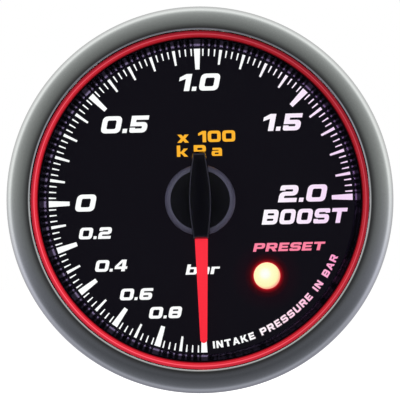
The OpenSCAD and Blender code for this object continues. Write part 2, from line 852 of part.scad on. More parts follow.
// Flat stator with three poles round the rotor. The coils are wound on its two lower limbs.
module stator_plate() {
    color("#8b8e92") facing() translate([0, 0, stator_z]) difference() {
        union() {
            translate([-stator_half_w, limb_y, 0]) cube([2 * stator_half_w, limb_w, stator_t]);
            translate([-stator_half_w, yoke_y, 0]) cube([2 * stator_half_w, yoke_w, stator_t]);
            for (x = [-stator_half_w, stator_half_w - leg_w])
                translate([x, limb_y, 0]) cube([leg_w, yoke_y + yoke_w - limb_y, stator_t]);
            at_rotor() cylinder(r = pole_r, h = stator_t);
            translate([-limb_w / 2, -rotor_drop, 0])
                cube([limb_w, yoke_y + rotor_drop + yoke_w / 2, stator_t]);
        }
        at_rotor() translate([0, 0, -overrun]) cylinder(r = rotor_hole_r, h = stator_t + 2 * overrun);
        at_rotor() for (a = [30, 150, 270]) rotate(a)
            translate([magnet_r, -pole_slot_w / 2, -overrun])
                cube([pole_r, pole_slot_w, stator_t + 2 * overrun]);
    }
}

// Both coils lie along x, on the limbs left and right of the rotor
module coil_slice(from, to, w, h) {
    mid_z = coil_z + coil_h / 2;
    hole_w = limb_w + 2 * slip;
    hole_h = stator_t + 2 * slip;
    for (side = [-1, 1]) difference() {
        translate([side > 0 ? from : -to, coil_mid_y - w / 2, mid_z - h / 2]) cube([to - from, w, h]);
        translate([side > 0 ? from - overrun : -to - overrun, coil_mid_y - hole_w / 2, mid_z - hole_h / 2])
            cube([to - from + 2 * overrun, hole_w, hole_h]);
    }
}

module coil_bobbins() {
    color("#ded8c6") facing() {
        coil_slice(coil_from, coil_from + coil_flange_t, coil_flange_w, coil_h);
        coil_slice(coil_from + coil_len - coil_flange_t, coil_from + coil_len, coil_flange_w, coil_h);
    }
}

module coil_windings() {
    color("#b5612c") facing() coil_slice(coil_from + coil_flange_t, coil_from + coil_len - coil_flange_t,
        winding_w, coil_h - 3 * slip);
}

module motor_terminals() {
    color("silver") facing() at_terminals() rod(terminal_r, coil_z + coil_h, board_z - slip);
}

module rotor_magnet() {
    color("#4b4d50") facing() at_rotor() tube(magnet_r, 3 * arbor_r, magnet_z, rotor_pinion_z);
}

module rotor_pinion() {
    color("#e6e2d8") facing() at_rotor() difference() {
        union() {
            rod(3 * arbor_r - snug, magnet_z, rotor_pinion_z);
            translate([0, 0, rotor_pinion_z]) linear_extrude(rotor_pinion_top_z - rotor_pinion_z)
                rotate(rotor_to_idler) polygon(gear_outline(pinion_teeth, fast_module, shift_share, 4));
        }
        rod(arbor_r, magnet_z - overrun, rotor_pinion_top_z + overrun);
    }
}

// Thin steel pin that turns with its wheel, its ends in blind holes in the two halves of the case
module arbor() {
    depth = motor_wall - pivot_depth + running;
    rod(arbor_r, motor_z + depth, board_rear_z - depth);
}

module rotor_arbor() {
    color("silver") facing() at_rotor() arbor();
}

module idler_wheel() {
    web_r = fast_module * idler_teeth / 2 * 0.62;
    color("#e6e2d8") facing() at_idler() difference() {
        union() {
            translate([0, 0, idler_wheel_z]) linear_extrude(idler_wheel_t)
                rotate(rotor_to_idler + 180 + 180 / idler_teeth)
                    polygon(gear_outline(idler_teeth, fast_module, -shift_share, 2));
            translate([0, 0, idler_wheel_z + idler_wheel_t]) linear_extrude(idler_pinion_h)
                rotate(idler_angle + 180) polygon(gear_outline(pinion_teeth, slow_module, shift_share, 4));
        }
        rod(arbor_r, idler_wheel_z - overrun, idler_wheel_z + idler_wheel_t + idler_pinion_h + overrun);
        for (a = [0 : 72 : 288]) rotate(a) translate([web_r, 0, 0])
            rod(web_r / 4, idler_wheel_z - overrun, idler_wheel_z + idler_wheel_t + overrun);
    }
}

module idler_arbor() {
    color("silver") facing() at_idler() arbor();
}

module output_wheel() {
    wheel_r = slow_module * output_teeth / 2;
    hub_r = 2 * shaft_r;
    color("#e6e2d8") facing() difference() {
        union() {
            translate([0, 0, output_z]) linear_extrude(output_t)
                rotate(idler_angle + 180 / output_teeth)
                    polygon(gear_outline(output_teeth, slow_module, -shift_share, 2));
            rod(hub_r, output_z - boss_h / 2, output_z + output_t + boss_h / 2);
        }
        rod(shaft_r, output_z - overrun, output_z + output_t + 2 * overrun);
        for (a = [0 : 60 : 300]) rotate(a) translate([wheel_r * 0.58, 0, 0])
            rod(wheel_r / 6, output_z - overrun, output_z + output_t + overrun);
    }
}

module pointer_shaft() {
    color("silver") facing()
        rod(shaft_r, motor_z + motor_wall - pivot_depth + running, shaft_top_z);
}

module pointer_hub() {
    color("#16171a") facing() tube(2.5 * shaft_r, shaft_r, dial_z + blade_lift / 2, shaft_top_z);
}

// Red light-guiding blade; its ring sits round the hub, under the cap
module pointer_blade() {
    ring_r = cap_r * 0.6;
    tip_r = blade_tip_w / 2;
    tip_y = tip_short + tip_r - mark_r;
    color("#f0303c") facing() difference() {
        union() {
            rod(ring_r, blade_z, cap_z);
            translate([0, 0, blade_z]) linear_extrude(blade_t) {
                polygon([[-blade_root_w / 2, 0], [-blade_root_w / 2, -cap_r], [-tip_r, tip_y],
                    [tip_r, tip_y], [blade_root_w / 2, -cap_r], [blade_root_w / 2, 0]]);
                translate([0, tip_y]) circle(r = tip_r);
            }
        }
        rod(2.5 * shaft_r + snug, blade_z - overrun, cap_z + overrun);
    }
}

// Black cap: a disc with a round edge and a rib across it that narrows to the tail and to the nose
module pointer_cap() {
    edge_r = cap_h / 3;
    nose_w = blade_root_w * 1.2;
    nose_y = -cap_r - nose_reach;
    tail_y = cap_r + tail_reach;
    rib_taper_share = 0.83;
    color("#0e0f12") facing() difference() {
        union() {
            rotate_extrude() profile_round(0, cap_r, cap_z, cap_top_z, edge_r, 1, 1);
            translate([0, 0, cap_z]) linear_extrude(cap_h) polygon(rib_outline(nose_w, nose_y, tail_y));
            translate([0, 0, cap_top_z]) linear_extrude(rib_h, scale = rib_taper_share, slices = 1)
                polygon(rib_outline(nose_w, nose_y, tail_y));
        }
        rod(2.5 * shaft_r + snug, cap_z - overrun, shaft_top_z + snug);
    }
}

// Half the rib's width at a distance from the centre, drawn in smoothly to its end
function rib_half(y, reach, end_w) = end_w / 2 + (rib_w - end_w) / 2 * cos(90 * abs(y) / reach);

function rib_outline(nose_w, nose_y, tail_y) =
    let (steps = 5,
        side = concat(
            [for (k = [-steps : -1]) let (y = -nose_y * k / steps) [rib_half(y, -nose_y, nose_w), y]],
            [for (k = [0 : steps]) let (y = tail_y * k / steps) [rib_half(y, tail_y, tail_w), y]]))
    concat(side, [for (k = [2 * steps : -1 : 0]) [-side[k].x, side[k].y]]);

module movement_screws() {
    color("silver") facing() at_screws() difference() {
        union() {
            rod(screw_head_r, back_z, back_z + screw_head_h);
            rod(screw_r, back_z + screw_head_h / 2, box_z - 2 * box_wall);
        }
        block(2 * screw_r, screw_r / 2, back_z - overrun, back_z + screw_head_h / 2);
        block(screw_r / 2, 2 * screw_r, back_z - overrun, back_z + screw_head_h / 2);
    }
}

// Studs with a head inside the cup, a shank pressed into its wall and a free length behind it
module mounting_studs() {
    tip_z = stud_seat_z - stud_len;
    color("#c9c4b4") facing() at_studs() {
        rod(stud_head_r, floor_z, floor_z + stud_head_h);
        rotate_extrude() polygon([
            [0, floor_z], [stud_shank_r, floor_z], [stud_shank_r, stud_seat_z], [stud_r, stud_seat_z],
            [stud_r, tip_z + stud_chamfer], [stud_r - stud_chamfer, tip_z], [0, tip_z]]);
    }
}

bezel_ring();
lens_glass();
lens_gasket();
housing_cup();
glow_ring();
dial_liner();
dial_plate();
scale_marks();
light_guide();
light_box();
backlight_leds();
ring_leds();
warning_lamp();
lamp_leads();
main_board();
controller_chip();
controller_legs();
crystal();
board_resistors();
smoothing_capacitor();
power_board();
voltage_regulator();
power_diode();
board_link();
link_pins();
power_socket();
power_pins();
sensor_socket();
sensor_pins();
motor_rear_case();
motor_front_case();
stator_plate();
coil_bobbins();
coil_windings();
motor_terminals();
rotor_magnet();
rotor_pinion();
rotor_arbor();
idler_wheel();
idler_arbor();
output_wheel();
pointer_shaft();
pointer_hub();
pointer_blade();
pointer_cap();
movement_screws();
mounting_studs();
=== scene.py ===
"""Looks of a round boost gauge with a geared stepping motor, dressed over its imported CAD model.

Places on the face are given as they are drawn: x to three o'clock, y to twelve o'clock and z out of
the face, in millimetres. facing() turns them to the frame, where the face looks along -Y.
"""
import json
import math

import bmesh
import bpy
from mathutils import Matrix, Vector


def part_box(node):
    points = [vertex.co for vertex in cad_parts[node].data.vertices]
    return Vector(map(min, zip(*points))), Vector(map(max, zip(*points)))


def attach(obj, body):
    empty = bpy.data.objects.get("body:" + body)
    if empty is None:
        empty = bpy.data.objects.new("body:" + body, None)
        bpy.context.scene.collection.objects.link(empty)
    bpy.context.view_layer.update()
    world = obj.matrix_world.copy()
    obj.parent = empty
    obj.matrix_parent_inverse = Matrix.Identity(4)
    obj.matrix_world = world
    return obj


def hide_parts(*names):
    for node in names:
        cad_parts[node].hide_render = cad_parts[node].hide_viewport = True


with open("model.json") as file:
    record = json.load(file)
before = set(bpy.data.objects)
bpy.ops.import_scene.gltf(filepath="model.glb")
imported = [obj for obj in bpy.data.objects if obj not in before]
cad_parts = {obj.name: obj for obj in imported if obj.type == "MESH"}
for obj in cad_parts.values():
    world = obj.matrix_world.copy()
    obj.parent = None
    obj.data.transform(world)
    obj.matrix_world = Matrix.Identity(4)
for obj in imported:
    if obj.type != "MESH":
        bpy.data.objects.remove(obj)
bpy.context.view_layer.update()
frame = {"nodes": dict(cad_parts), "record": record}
scene = bpy.context.scene
nodes = frame["nodes"]
MM = 0.001
FACING = Matrix.Rotation(math.pi / 2, 4, "X")
# Widths that a shape and its finish share, in millimetres
RING_WALL = 0.9
LINER_SLOPE = 1.0
# Places nearer than this count as level with each other, in millimetres
NEAR = 0.01


def facing(x, y, z):
    """A place on the face, in millimetres, as a point of the frame in metres."""
    return FACING @ Vector((x, y, z)) * MM


def front(node):
    """Height of a CAD node's foremost point over the panel, in millimetres."""
    return -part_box(node)[0].y / MM


def radius(node):
    """Outer radius of a CAD node that is turned round the gauge's axis, in millimetres."""
    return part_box(node)[1].x / MM


def linear(colour):
    """An sRGB hex colour as the linear colour that shaders take."""
    shares = [int(colour[i:i + 2], 16) / 255 for i in (1, 3, 5)]
    return [c / 12.92 if c <= 0.04045 else ((c + 0.055) / 1.055) ** 2.4 for c in shares] + [1.0]


# Camera: half a metre in front, a little to the right and below, and turned by the tilt of the photo
view_distance = 507
view_azimuth = math.radians(0.8)
view_elevation = math.radians(-0.7)
view_roll = math.radians(1.4)
view_half_width = 33.07
sensor_w = 36

camera_data = bpy.data.cameras.new("camera")
camera_data.sensor_width = sensor_w
camera_data.lens = sensor_w / 2 * view_distance / view_half_width
camera_data.clip_start = 0.01
camera_data.clip_end = 20
camera = bpy.data.objects.new("camera", camera_data)
scene.collection.objects.link(camera)
scene.camera = camera
towards_camera = Vector((
    math.sin(view_azimuth) * math.cos(view_elevation),
    -math.cos(view_azimuth) * math.cos(view_elevation),
    math.sin(view_elevation),
))
view_centre = facing(0.03, -0.03, 3)
right = (-towards_camera).cross(Vector((0, 0, 1))).normalized()
level = Matrix((right, right.cross(-towards_camera), towards_camera)).transposed().to_4x4()
camera.matrix_world = (
    Matrix.Translation(view_centre + towards_camera * view_distance * MM)
    @ level @ Matrix.Rotation(-view_roll, 4, "Z")
)
scene.view_settings.view_transform = "Standard"


# Nodes


def add(tree, kind, inputs=None, stops=None, **settings):
    """Adds a node. An input is linked when it is given a socket, and set when it is given a value.
    stops are a colour ramp's places and colours, its two ends first."""
    node = tree.nodes.new(kind)
    for name, value in settings.items():
        setattr(node, name, value)
    for key, value in (inputs or {}).items():
        if isinstance(value, bpy.types.NodeSocket):
            tree.links.new(value, node.inputs[key])
        else:
            node.inputs[key].default_value = value
    for i, (place, colour) in enumerate(stops or []):
        stop = node.color_ramp.elements[i] if i < 2 else node.color_ramp.elements.new(place)
        stop.position, stop.color = place, linear(colour)
    return node


def new_material(name):
    """An empty material, its node tree, and the socket of its Object coordinates."""
    made = bpy.data.materials.new(name)
    made.use_nodes = True
    made.node_tree.nodes.clear()
    where = add(made.node_tree, "ShaderNodeTexCoord").outputs["Object"]
    return made, made.node_tree, where


def close_material(made, shader):
    add(made.node_tree, "ShaderNodeOutputMaterial", {"Surface": shader.outputs[0]})
    return made


def per_mm(size):
    """Scale of a noise whose grains are this many millimetres across."""
    return 1 / (size * MM)


# Finishes


def moulded_plastic(name, colour, roughness, grain, depth, ior=1.53, gloss=0.5):
    """Injection moulded plastic: the mould's eroded surface leaves fine dimples, and the shine
    wanders a little where the melt met."""
    made, tree, where = new_material(name)
    dimples = add(tree, "ShaderNodeTexNoise", {"Vector": where, "Scale": per_mm(grain), "Detail": 3.0})
    flow = add(tree, "ShaderNodeTexNoise", {"Vector": where, "Scale": per_mm(grain * 30)})
    shine = add(tree, "ShaderNodeMapRange", {
        "Value": flow.outputs["Fac"], "To Min": roughness * 0.85, "To Max": roughness * 1.15})
    tone = add(tree, "ShaderNodeMapRange", {"Value": flow.outputs["Fac"], "To Min": 0.9, "To Max": 1.1})
    shade = add(tree, "ShaderNodeVectorMath", {0: linear(colour)[:3], "Scale": tone.outputs[0]},
                operation="SCALE")
    bump = add(tree, "ShaderNodeBump", {
        "Height": dimples.outputs["Fac"], "Strength": 0.4, "Distance": depth * MM})
    return close_material(made, add(tree, "ShaderNodeBsdfPrincipled", {
        "Base Color": shade.outputs[0], "Roughness": shine.outputs[0], "IOR": ior,
        "Specular IOR Level": gloss, "Normal": bump.outputs[0]}))


def worked_metal(name, colour, roughness, grain, depth, stretch=(1, 1, 1)):
    """Metal with a fine worked surface: round grains from blasting or plating, or scratches along
    the way it was drawn or ground where the grains are stretched."""
    made, tree, where = new_material(name)
    drawn = add(tree, "ShaderNodeMapping", {"Vector": where, "Scale": stretch})
    grains = add(tree, "ShaderNodeTexNoise", {
        "Vector": drawn.outputs[0], "Scale": per_mm(grain), "Detail": 4.0})
    cloud = add(tree, "ShaderNodeTexNoise", {"Vector": where, "Scale": per_mm(grain * 40)})
    shine = add(tree, "ShaderNodeMapRange", {
        "Value": cloud.outputs["Fac"], "To Min": roughness * 0.88, "To Max": roughness * 1.12})
    tone = add(tree, "ShaderNodeMapRange", {"Value": grains.outputs["Fac"], "To Min": 0.92, "To Max": 1.08})
    shade = add(tree, "ShaderNodeVectorMath", {0: linear(colour)[:3], "Scale": tone.outputs[0]},
                operation="SCALE")
    bump = add(tree, "ShaderNodeBump", {
        "Height": grains.outputs["Fac"], "Strength": 0.3, "Distance": depth * MM})
    return close_material(made, add(tree, "ShaderNodeBsdfPrincipled", {
        "Base Color": shade.outputs[0], "Metallic": 1.0, "Roughness": shine.outputs[0],
        "Normal": bump.outputs[0]}))


def face_sockets(tree, where):
    """x, height and distance from the axis of a point on the face, in metres."""
    split = add(tree, "ShaderNodeSeparateXYZ", {"Vector": where})
    flat = add(tree, "ShaderNodeCombineXYZ", {"X": split.outputs["X"], "Z": split.outputs["Z"]})
    reach = add(tree, "ShaderNodeVectorMath", {0: flat.outputs[0]}, operation="LENGTH")
    return split.outputs["X"], split.outputs["Z"], reach.outputs["Value"]


def clear_lens():
    """Flat mineral glass with a dark antireflective coat: what is behind shows unbent, and only the
    glancing rays mirror the room. The glass mirrors on its outer side alone, since a ray that isn't
    bent on its way in would meet the inner side too flat to get out."""
    made, tree, where = new_material("coated_glass")
    smear = add(tree, "ShaderNodeTexNoise", {"Vector": where, "Scale": per_mm(9)})
    haze = add(tree, "ShaderNodeMapRange", {"Value": smear.outputs["Fac"], "To Min": 0.0, "To Max": 0.03})
    mirror = add(tree, "ShaderNodeBsdfGlossy", {"Roughness": haze.outputs[0]})
    through = add(tree, "ShaderNodeBsdfTransparent", {"Color": linear("#fbfcfc")})
    glance = add(tree, "ShaderNodeFresnel", {"IOR": 1.3})
    inner = add(tree, "ShaderNodeNewGeometry").outputs["Backfacing"]
    outer = add(tree, "ShaderNodeMath", {0: 1.0, 1: inner}, operation="SUBTRACT")
    share = add(tree, "ShaderNodeMath", {0: glance.outputs[0], 1: outer.outputs[0]},
                operation="MULTIPLY")
    return close_material(made, add(tree, "ShaderNodeMixShader", {
        0: share.outputs[0], 1: through.outputs[0], 2: mirror.outputs[0]}))


def glowing_acrylic():
    """Red acrylic rim lit from behind: brightest along its crown, where a paler line is a painted
    highlight, deep red at both edges, and duller at the upper right than at the lower left."""
    made, tree, where = new_material("lit_red_acrylic")
    _, _, reach = face_sockets(tree, where)
    slope = add(tree, "ShaderNodeVectorMath", {0: where, 1: (0.707, 0, 0.707)}, operation="DOT_PRODUCT")
    ring_out = radius("glow_ring") * MM
    ring_in = ring_out - RING_WALL * MM
    across = add(tree, "ShaderNodeMapRange", {"Value": reach, "From Min": ring_in, "From Max": ring_out})
    # The ring's glow across its width, with a painted highlight as the pale band along the crown
    glow_and_painted_highlight = add(tree, "ShaderNodeValToRGB", {"Fac": across.outputs[0]}, stops=[
        (0.0, "#8c101a"), (1.0, "#b02c3c"), (0.14, "#cc1a2a"), (0.44, "#dc2030"), (0.52, "#ff6c7c"),
        (0.58, "#fc6072"), (0.68, "#dc2a3a")])
    fall = add(tree, "ShaderNodeMapRange", {
        "Value": slope.outputs["Value"], "From Min": -ring_out, "From Max": ring_out, "To Min": 1.2,
        "To Max": 0.5})
    return close_material(made, add(tree, "ShaderNodeBsdfPrincipled", {
        "Base Color": linear("#5a1018"), "Roughness": 0.2, "IOR": 1.49,
        "Emission Color": glow_and_painted_highlight.outputs[0], "Emission Strength": fall.outputs[0]}))


def printed_film():
    """Dial film with a matte black print and a painted glow: the lamps behind tint it violet, and the
    warning lamp's light is painted as a red glow round its hole."""
    made, tree, where = new_material("printed_polycarbonate")
    lamp = Vector([sum(c) / 2 for c in zip(*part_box("warning_lamp"))])
    painted_glow_from, painted_glow_to = 2 * MM, 6 * MM
    split = add(tree, "ShaderNodeSeparateXYZ", {"Vector": where})
    flat = add(tree, "ShaderNodeCombineXYZ", {
        "X": split.outputs["X"], "Y": lamp.y, "Z": split.outputs["Z"]})
    away = add(tree, "ShaderNodeVectorMath", {0: flat.outputs[0], 1: lamp}, operation="DISTANCE")
    share = add(tree, "ShaderNodeMapRange", {
        "Value": away.outputs["Value"], "From Min": painted_glow_from, "From Max": painted_glow_to})
    # Painted glow: red round the warning lamp's hole, fading to a faint violet over the rest of the dial
    painted_glow = add(tree, "ShaderNodeValToRGB", {"Fac": share.outputs[0]}, stops=[
        (0.0, "#ff3a46"), (1.0, "#100e15"), (0.07, "#c01420"), (0.14, "#700812"), (0.24, "#34060e"),
        (0.45, "#180b14")])
    grain = add(tree, "ShaderNodeTexNoise", {"Vector": where, "Scale": per_mm(0.12), "Detail": 2.0})
    bump = add(tree, "ShaderNodeBump", {
        "Height": grain.outputs["Fac"], "Strength": 0.25, "Distance": 0.01 * MM})
    return close_material(made, add(tree, "ShaderNodeBsdfPrincipled", {
        "Base Color": linear("#040405"), "Roughness": 0.5, "IOR": 1.5, "Specular IOR Level": 0.04,
        "Normal": bump.outputs[0],
        "Emission Color": painted_glow.outputs[0], "Emission Strength": 1.0}))


def liner_wall():
    """Liner of moulded black plastic with a violet cast: smooth at its foot, where it mirrors the
    nearest marks, and dull over it."""
    made, tree, where = new_material("satin_abs")
    _, _, reach = face_sockets(tree, where)
    foot_r = (radius("dial_liner") - LINER_SLOPE) * MM
    polish_from, polish_to = foot_r + 0.14 * MM, foot_r + 0.34 * MM
    dimples = add(tree, "ShaderNodeTexNoise", {"Vector": where, "Scale": per_mm(0.3), "Detail": 3.0})
    bump = add(tree, "ShaderNodeBump", {
        "Height": dimples.outputs["Fac"], "Strength": 0.3, "Distance": 0.002 * MM})
    body = add(tree, "ShaderNodeBsdfDiffuse", {"Color": linear("#07060c"), "Normal": bump.outputs[0]})
    mirror = add(tree, "ShaderNodeBsdfGlossy", {
        "Color": linear("#e0c8ff"), "Roughness": 0.2, "Normal": bump.outputs[0]})
    polish = add(tree, "ShaderNodeMapRange", {
        "Value": reach, "From Min": polish_from, "From Max": polish_to, "To Min": 1.0,
        "To Max": 0.05})
    glance = add(tree, "ShaderNodeFresnel", {"IOR": 1.53})
    share = add(tree, "ShaderNodeMath", {0: glance.outputs[0], 1: polish.outputs[0]},
                operation="MULTIPLY")
    return close_material(made, add(tree, "ShaderNodeMixShader", {
        0: share.outputs[0], 1: body.outputs[0], 2: mirror.outputs[0]}))


def lit_print(name, left, red_lamp_tint):
    """Window in the dial's print that the white lamps shine through. Its light turns to the second
    colour at the right, near the red lamp: a painted tint of that lamp's light."""
    made, tree, where = new_material(name)
    across, _, _ = face_sockets(tree, where)
    turn_from, turn_to = 7 * MM, 23 * MM
    share = add(tree, "ShaderNodeMapRange", {"Value": across, "From Min": turn_from, "From Max": turn_to})
    # Painted tint of the red lamp's light, growing towards the right
    light = add(tree, "ShaderNodeValToRGB", {"Fac": share.outputs[0]}, stops=[
        (0.0, left), (1.0, red_lamp_tint)])
    return close_material(made, add(tree, "ShaderNodeBsdfPrincipled", {
        "Base Color": linear("#101014"), "Roughness": 0.5, "IOR": 1.5,
        "Emission Color": light.outputs[0], "Emission Strength": 1.08}))


def lit_lamp():
    """Clear resin lamp that is lit and glows, with a painted highlight as a white core up and to the left;
    its rim is warm.
    """
    made, tree, where = new_material("lit_epoxy_resin")
    low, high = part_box("warning_lamp")
    highlight_left, highlight_up, warm_r = 0.3 * MM, 0.35 * MM, 2.7 * MM
    # Middle of the painted highlight on the lamp's dome
    core = Vector(((low.x + high.x) / 2 - highlight_left, low.y, (low.z + high.z) / 2 + highlight_up))
    away = add(tree, "ShaderNodeVectorMath", {0: where, 1: core}, operation="DISTANCE")
    share = add(tree, "ShaderNodeMapRange", {"Value": away.outputs["Value"], "From Max": warm_r})
    glow = add(tree, "ShaderNodeValToRGB", {"Fac": share.outputs[0]}, stops=[
        (0.0, "#ffffff"), (1.0, "#ffa090"), (0.22, "#fffff2"), (0.42, "#fffeca"), (0.8, "#fff8b8")])
    return close_material(made, add(tree, "ShaderNodeBsdfPrincipled", {
        "Base Color": linear("#403820"), "Roughness": 0.15, "IOR": 1.54,
        "Emission Color": glow.outputs[0], "Emission Strength": 1.04}))


def lit_blade():
    """Red acrylic blade that carries light from the hub to its tip, so it glows evenly and loses a
    little towards the tip."""
    made, tree, where = new_material("lit_red_blade")
    _, _, reach = face_sockets(tree, where)
    hub_end, tip_end = 6 * MM, 24 * MM
    share = add(tree, "ShaderNodeMapRange", {"Value": reach, "From Min": hub_end, "From Max": tip_end})
    glow = add(tree, "ShaderNodeValToRGB", {"Fac": share.outputs[0]}, stops=[
        (0.0, "#ff2e40"), (1.0, "#fa283a")])
    return close_material(made, add(tree, "ShaderNodeBsdfPrincipled", {
        "Base Color": linear("#60080e"), "Roughness": 0.25, "IOR": 1.49,
        "Emission Color": glow.outputs[0], "Emission Strength": 1.0}))


def circuit_board():
    """Glass cloth laminate under green solder mask: the cloth's threads show faintly, half a
    millimetre apart."""
    made, tree, where = new_material("green_laminate")
    cloth = add(tree, "ShaderNodeTexChecker", {
        "Vector": where, "Scale": per_mm(0.5), "Color1": linear("#0f4a2c"), "Color2": linear("#12553a")})
    cloud = add(tree, "ShaderNodeTexNoise", {"Vector": where, "Scale": per_mm(3)})
    shine = add(tree, "ShaderNodeMapRange", {"Value": cloud.outputs["Fac"], "To Min": 0.25, "To Max": 0.4})
    return close_material(made, add(tree, "ShaderNodeBsdfPrincipled", {
        "Base Color": cloth.outputs[0], "Roughness": shine.outputs[0], "IOR": 1.55}))


def stacked(name, low, high, pitch, roughness, metallic):
    """Layers or turns that lie one on the other along the gauge's axis. The wave node draws its lines
    two pi times as far apart as the pitch here, so that they are coarse enough to show."""
    made, tree, where = new_material(name)
    lines = add(tree, "ShaderNodeTexWave", {"Vector": where, "Scale": per_mm(pitch) / 20},
                bands_direction="Y", wave_profile="SIN")
    shade = add(tree, "ShaderNodeValToRGB", {"Fac": lines.outputs["Fac"]}, stops=[(0.0, low), (1.0, high)])
    bump = add(tree, "ShaderNodeBump", {
        "Height": lines.outputs["Fac"], "Strength": 0.5, "Distance": pitch / 4 * MM})
    return close_material(made, add(tree, "ShaderNodeBsdfPrincipled", {
        "Base Color": shade.outputs[0], "Metallic": metallic, "Roughness": roughness,
        "Normal": bump.outputs[0]}))


def clear_acrylic():
    """Cast acrylic sheet, polished, with the white dots under it that turn its light forwards."""
    made, tree, where = new_material("clear_acrylic")
    dots = add(tree, "ShaderNodeTexVoronoi", {"Vector": where, "Scale": per_mm(0.8), "Randomness": 0.0})
    shine = add(tree, "ShaderNodeMapRange", {
        "Value": dots.outputs["Distance"], "From Max": 0.4, "To Min": 0.35, "To Max": 0.04})
    return close_material(made, add(tree, "ShaderNodeBsdfPrincipled", {
        "Base Color": linear("#eef4f5"), "Roughness": shine.outputs[0], "IOR": 1.49,
        "Transmission Weight": 0.9}))


finishes = {
    # Aluminium ring, blasted with fine beads and anodised grey: satin, with a broad soft shine
    "bezel_metal": worked_metal("anodised_aluminium", "#b2b4b3", 0.17, 0.3, 0.004),
    "clear_glass": clear_lens(),
    # Moulded nitrile rubber, dull
    "black_rubber": moulded_plastic("nitrile_rubber", "#141414", 0.8, 0.3, 0.02, ior=1.52),
    # Moulded ABS with a spark-eroded texture, dull black
    "black_housing": moulded_plastic("textured_abs", "#141416", 0.5, 0.35, 0.03),
    # Polished ABS: near black, mirrors its neighbours
    "black_gloss": moulded_plastic("polished_abs", "#08080a", 0.09, 0.8, 0.002),
    "red_glow": glowing_acrylic(),
    "dial_black": printed_film(),
    # Its pale pink second colour is a painted tint of the red lamp's light
    "scale_white": lit_print("lit_white_print", "#ffffff", "#f8d8f8"),
    "clear_plastic": clear_acrylic(),
    # White ABS that scatters the lamps' light
    "white_plastic": moulded_plastic("white_abs", "#e6e6e0", 0.55, 0.4, 0.01),
    "lamp_yellow": lit_lamp(),
    # Small lamp bodies: yellow phosphor under clear resin
    "led_resin": moulded_plastic("phosphor_resin", "#e8dc9a", 0.2, 0.3, 0.003, ior=1.54),
    # Copper alloy, hot tinned: soft grey, slightly wavy
    "tinned_metal": worked_metal("tinned_brass", "#c8c8c4", 0.28, 0.4, 0.006),
    # Brass pins, flash gilt: yellow and bright, with fine lines along them
    "gold_metal": worked_metal("gilt_brass", "#d9b25c", 0.22, 0.2, 0.003, stretch=(1, 0.1, 1)),
    "board_green": circuit_board(),
    # Epoxy moulding compound, dull and grainy
    "chip_black": moulded_plastic("epoxy_compound", "#18181a", 0.6, 0.15, 0.01, ior=1.55),
    # Drawn aluminium can: pale grey, with fine lines along it
    "can_metal": worked_metal("drawn_aluminium", "#c6c6c2", 0.25, 0.2, 0.003, stretch=(1, 0.15, 1)),
    # Shrunk polyester sleeve: dark blue, smooth and shiny
    "capacitor_sleeve": moulded_plastic("polyester_sleeve", "#1a2438", 0.25, 1.2, 0.01, ior=1.57),
    # Unfilled nylon of the plug sockets, waxy cream
    "socket_cream": moulded_plastic("natural_nylon", "#ddd3b4", 0.45, 0.5, 0.01),
    # Punched electrical steel, in sheets of a quarter of a millimetre: grey, with lines between them
    "stator_steel": stacked("laminated_steel", "#6a6c6e", "#9a9c9e", 0.25, 0.4, 1.0),
    # Enamelled copper wire, orange brown: a tenth of a millimetre thick, drawn coarser so that its
    # turns show
    "copper_wire": stacked("enamelled_copper", "#8a3a1c", "#d9793e", 0.2, 0.3, 1.0),
    # Bonded ferrite of the rotor: dark grey with fine grains
    "magnet_grey": moulded_plastic("bonded_ferrite", "#3a3a3c", 0.6, 0.1, 0.01, ior=2.3),
    # Acetal of the gears and bobbins, smooth and waxy
    "gear_plastic": moulded_plastic("acetal", "#e4dfd2", 0.4, 0.6, 0.003, ior=1.48),
    # Ground steel arbors and shaft, with fine lines round them
    "steel": worked_metal("ground_steel", "#c4c6c8", 0.2, 0.08, 0.002, stretch=(0.2, 1, 0.2)),
    "red_blade": lit_blade(),
    # Zinc plated steel, passivated: pale with a yellow cast
    "stud_zinc": worked_metal("zinc_plated_steel", "#c9c3ac", 0.3, 0.25, 0.005),
}
liner_satin = liner_wall()
# Pointer cap of dyed black plastic: polished top, a fine eroded edge whose paler colour is a painted
# sheen, and a polished edge round the rib, greyer with a painted reflection of a little of the room
cap_black = moulded_plastic("dyed_black_plastic", "#07060e", 0.12, 0.8, 0.002, gloss=0.35)
sheen_painted_edge = moulded_plastic("eroded_edge_painted_sheen", "#565368", 0.4, 0.2, 0.006)
rib_sheen_painted = moulded_plastic("polished_edge_painted_reflection", "#2c2a38", 0.3, 0.2, 0.006)
# Bezel's inner edge, cut bright with a diamond tool after the ring was blasted
cut_edge = worked_metal("diamond_cut_aluminium", "#f6f6f6", 0.08, 0.1, 0.001)
# The arc print's pink second colour is a painted tint of the red lamp's light; amber and pink are the
# print's own colours
arc_print = lit_print("lit_arc_print", "#ffffff", "#ff96c8")
amber_print = lit_print("lit_amber_print", "#ffb428", "#ffb428")
pink_print = lit_print("lit_pink_print", "#ff82a0", "#ff82a0")

# Each CAD node gets the finish of its slot
for row in frame["record"]["subparts"]:
    node = nodes[row["node"]]
    finish = finishes[row["material_slot"]]
    if not node.material_slots:
        node.data.materials.append(finish)
    for held in node.material_slots:
        held.material = finish


# Modelling


def deselect():
    bpy.ops.object.select_all(action="DESELECT")


def choose(piece):
    """Makes a piece the only one that operations work on."""
    deselect()
    piece.select_set(True)
    bpy.context.view_layer.objects.active = piece


def weld():
    """Joins points of the open piece that lie on one another, and leaves all of it selected."""
    bpy.ops.mesh.select_all(action="SELECT")
    bpy.ops.mesh.remove_doubles(threshold=0.0005 * MM)
    bpy.ops.mesh.select_all(action="SELECT")


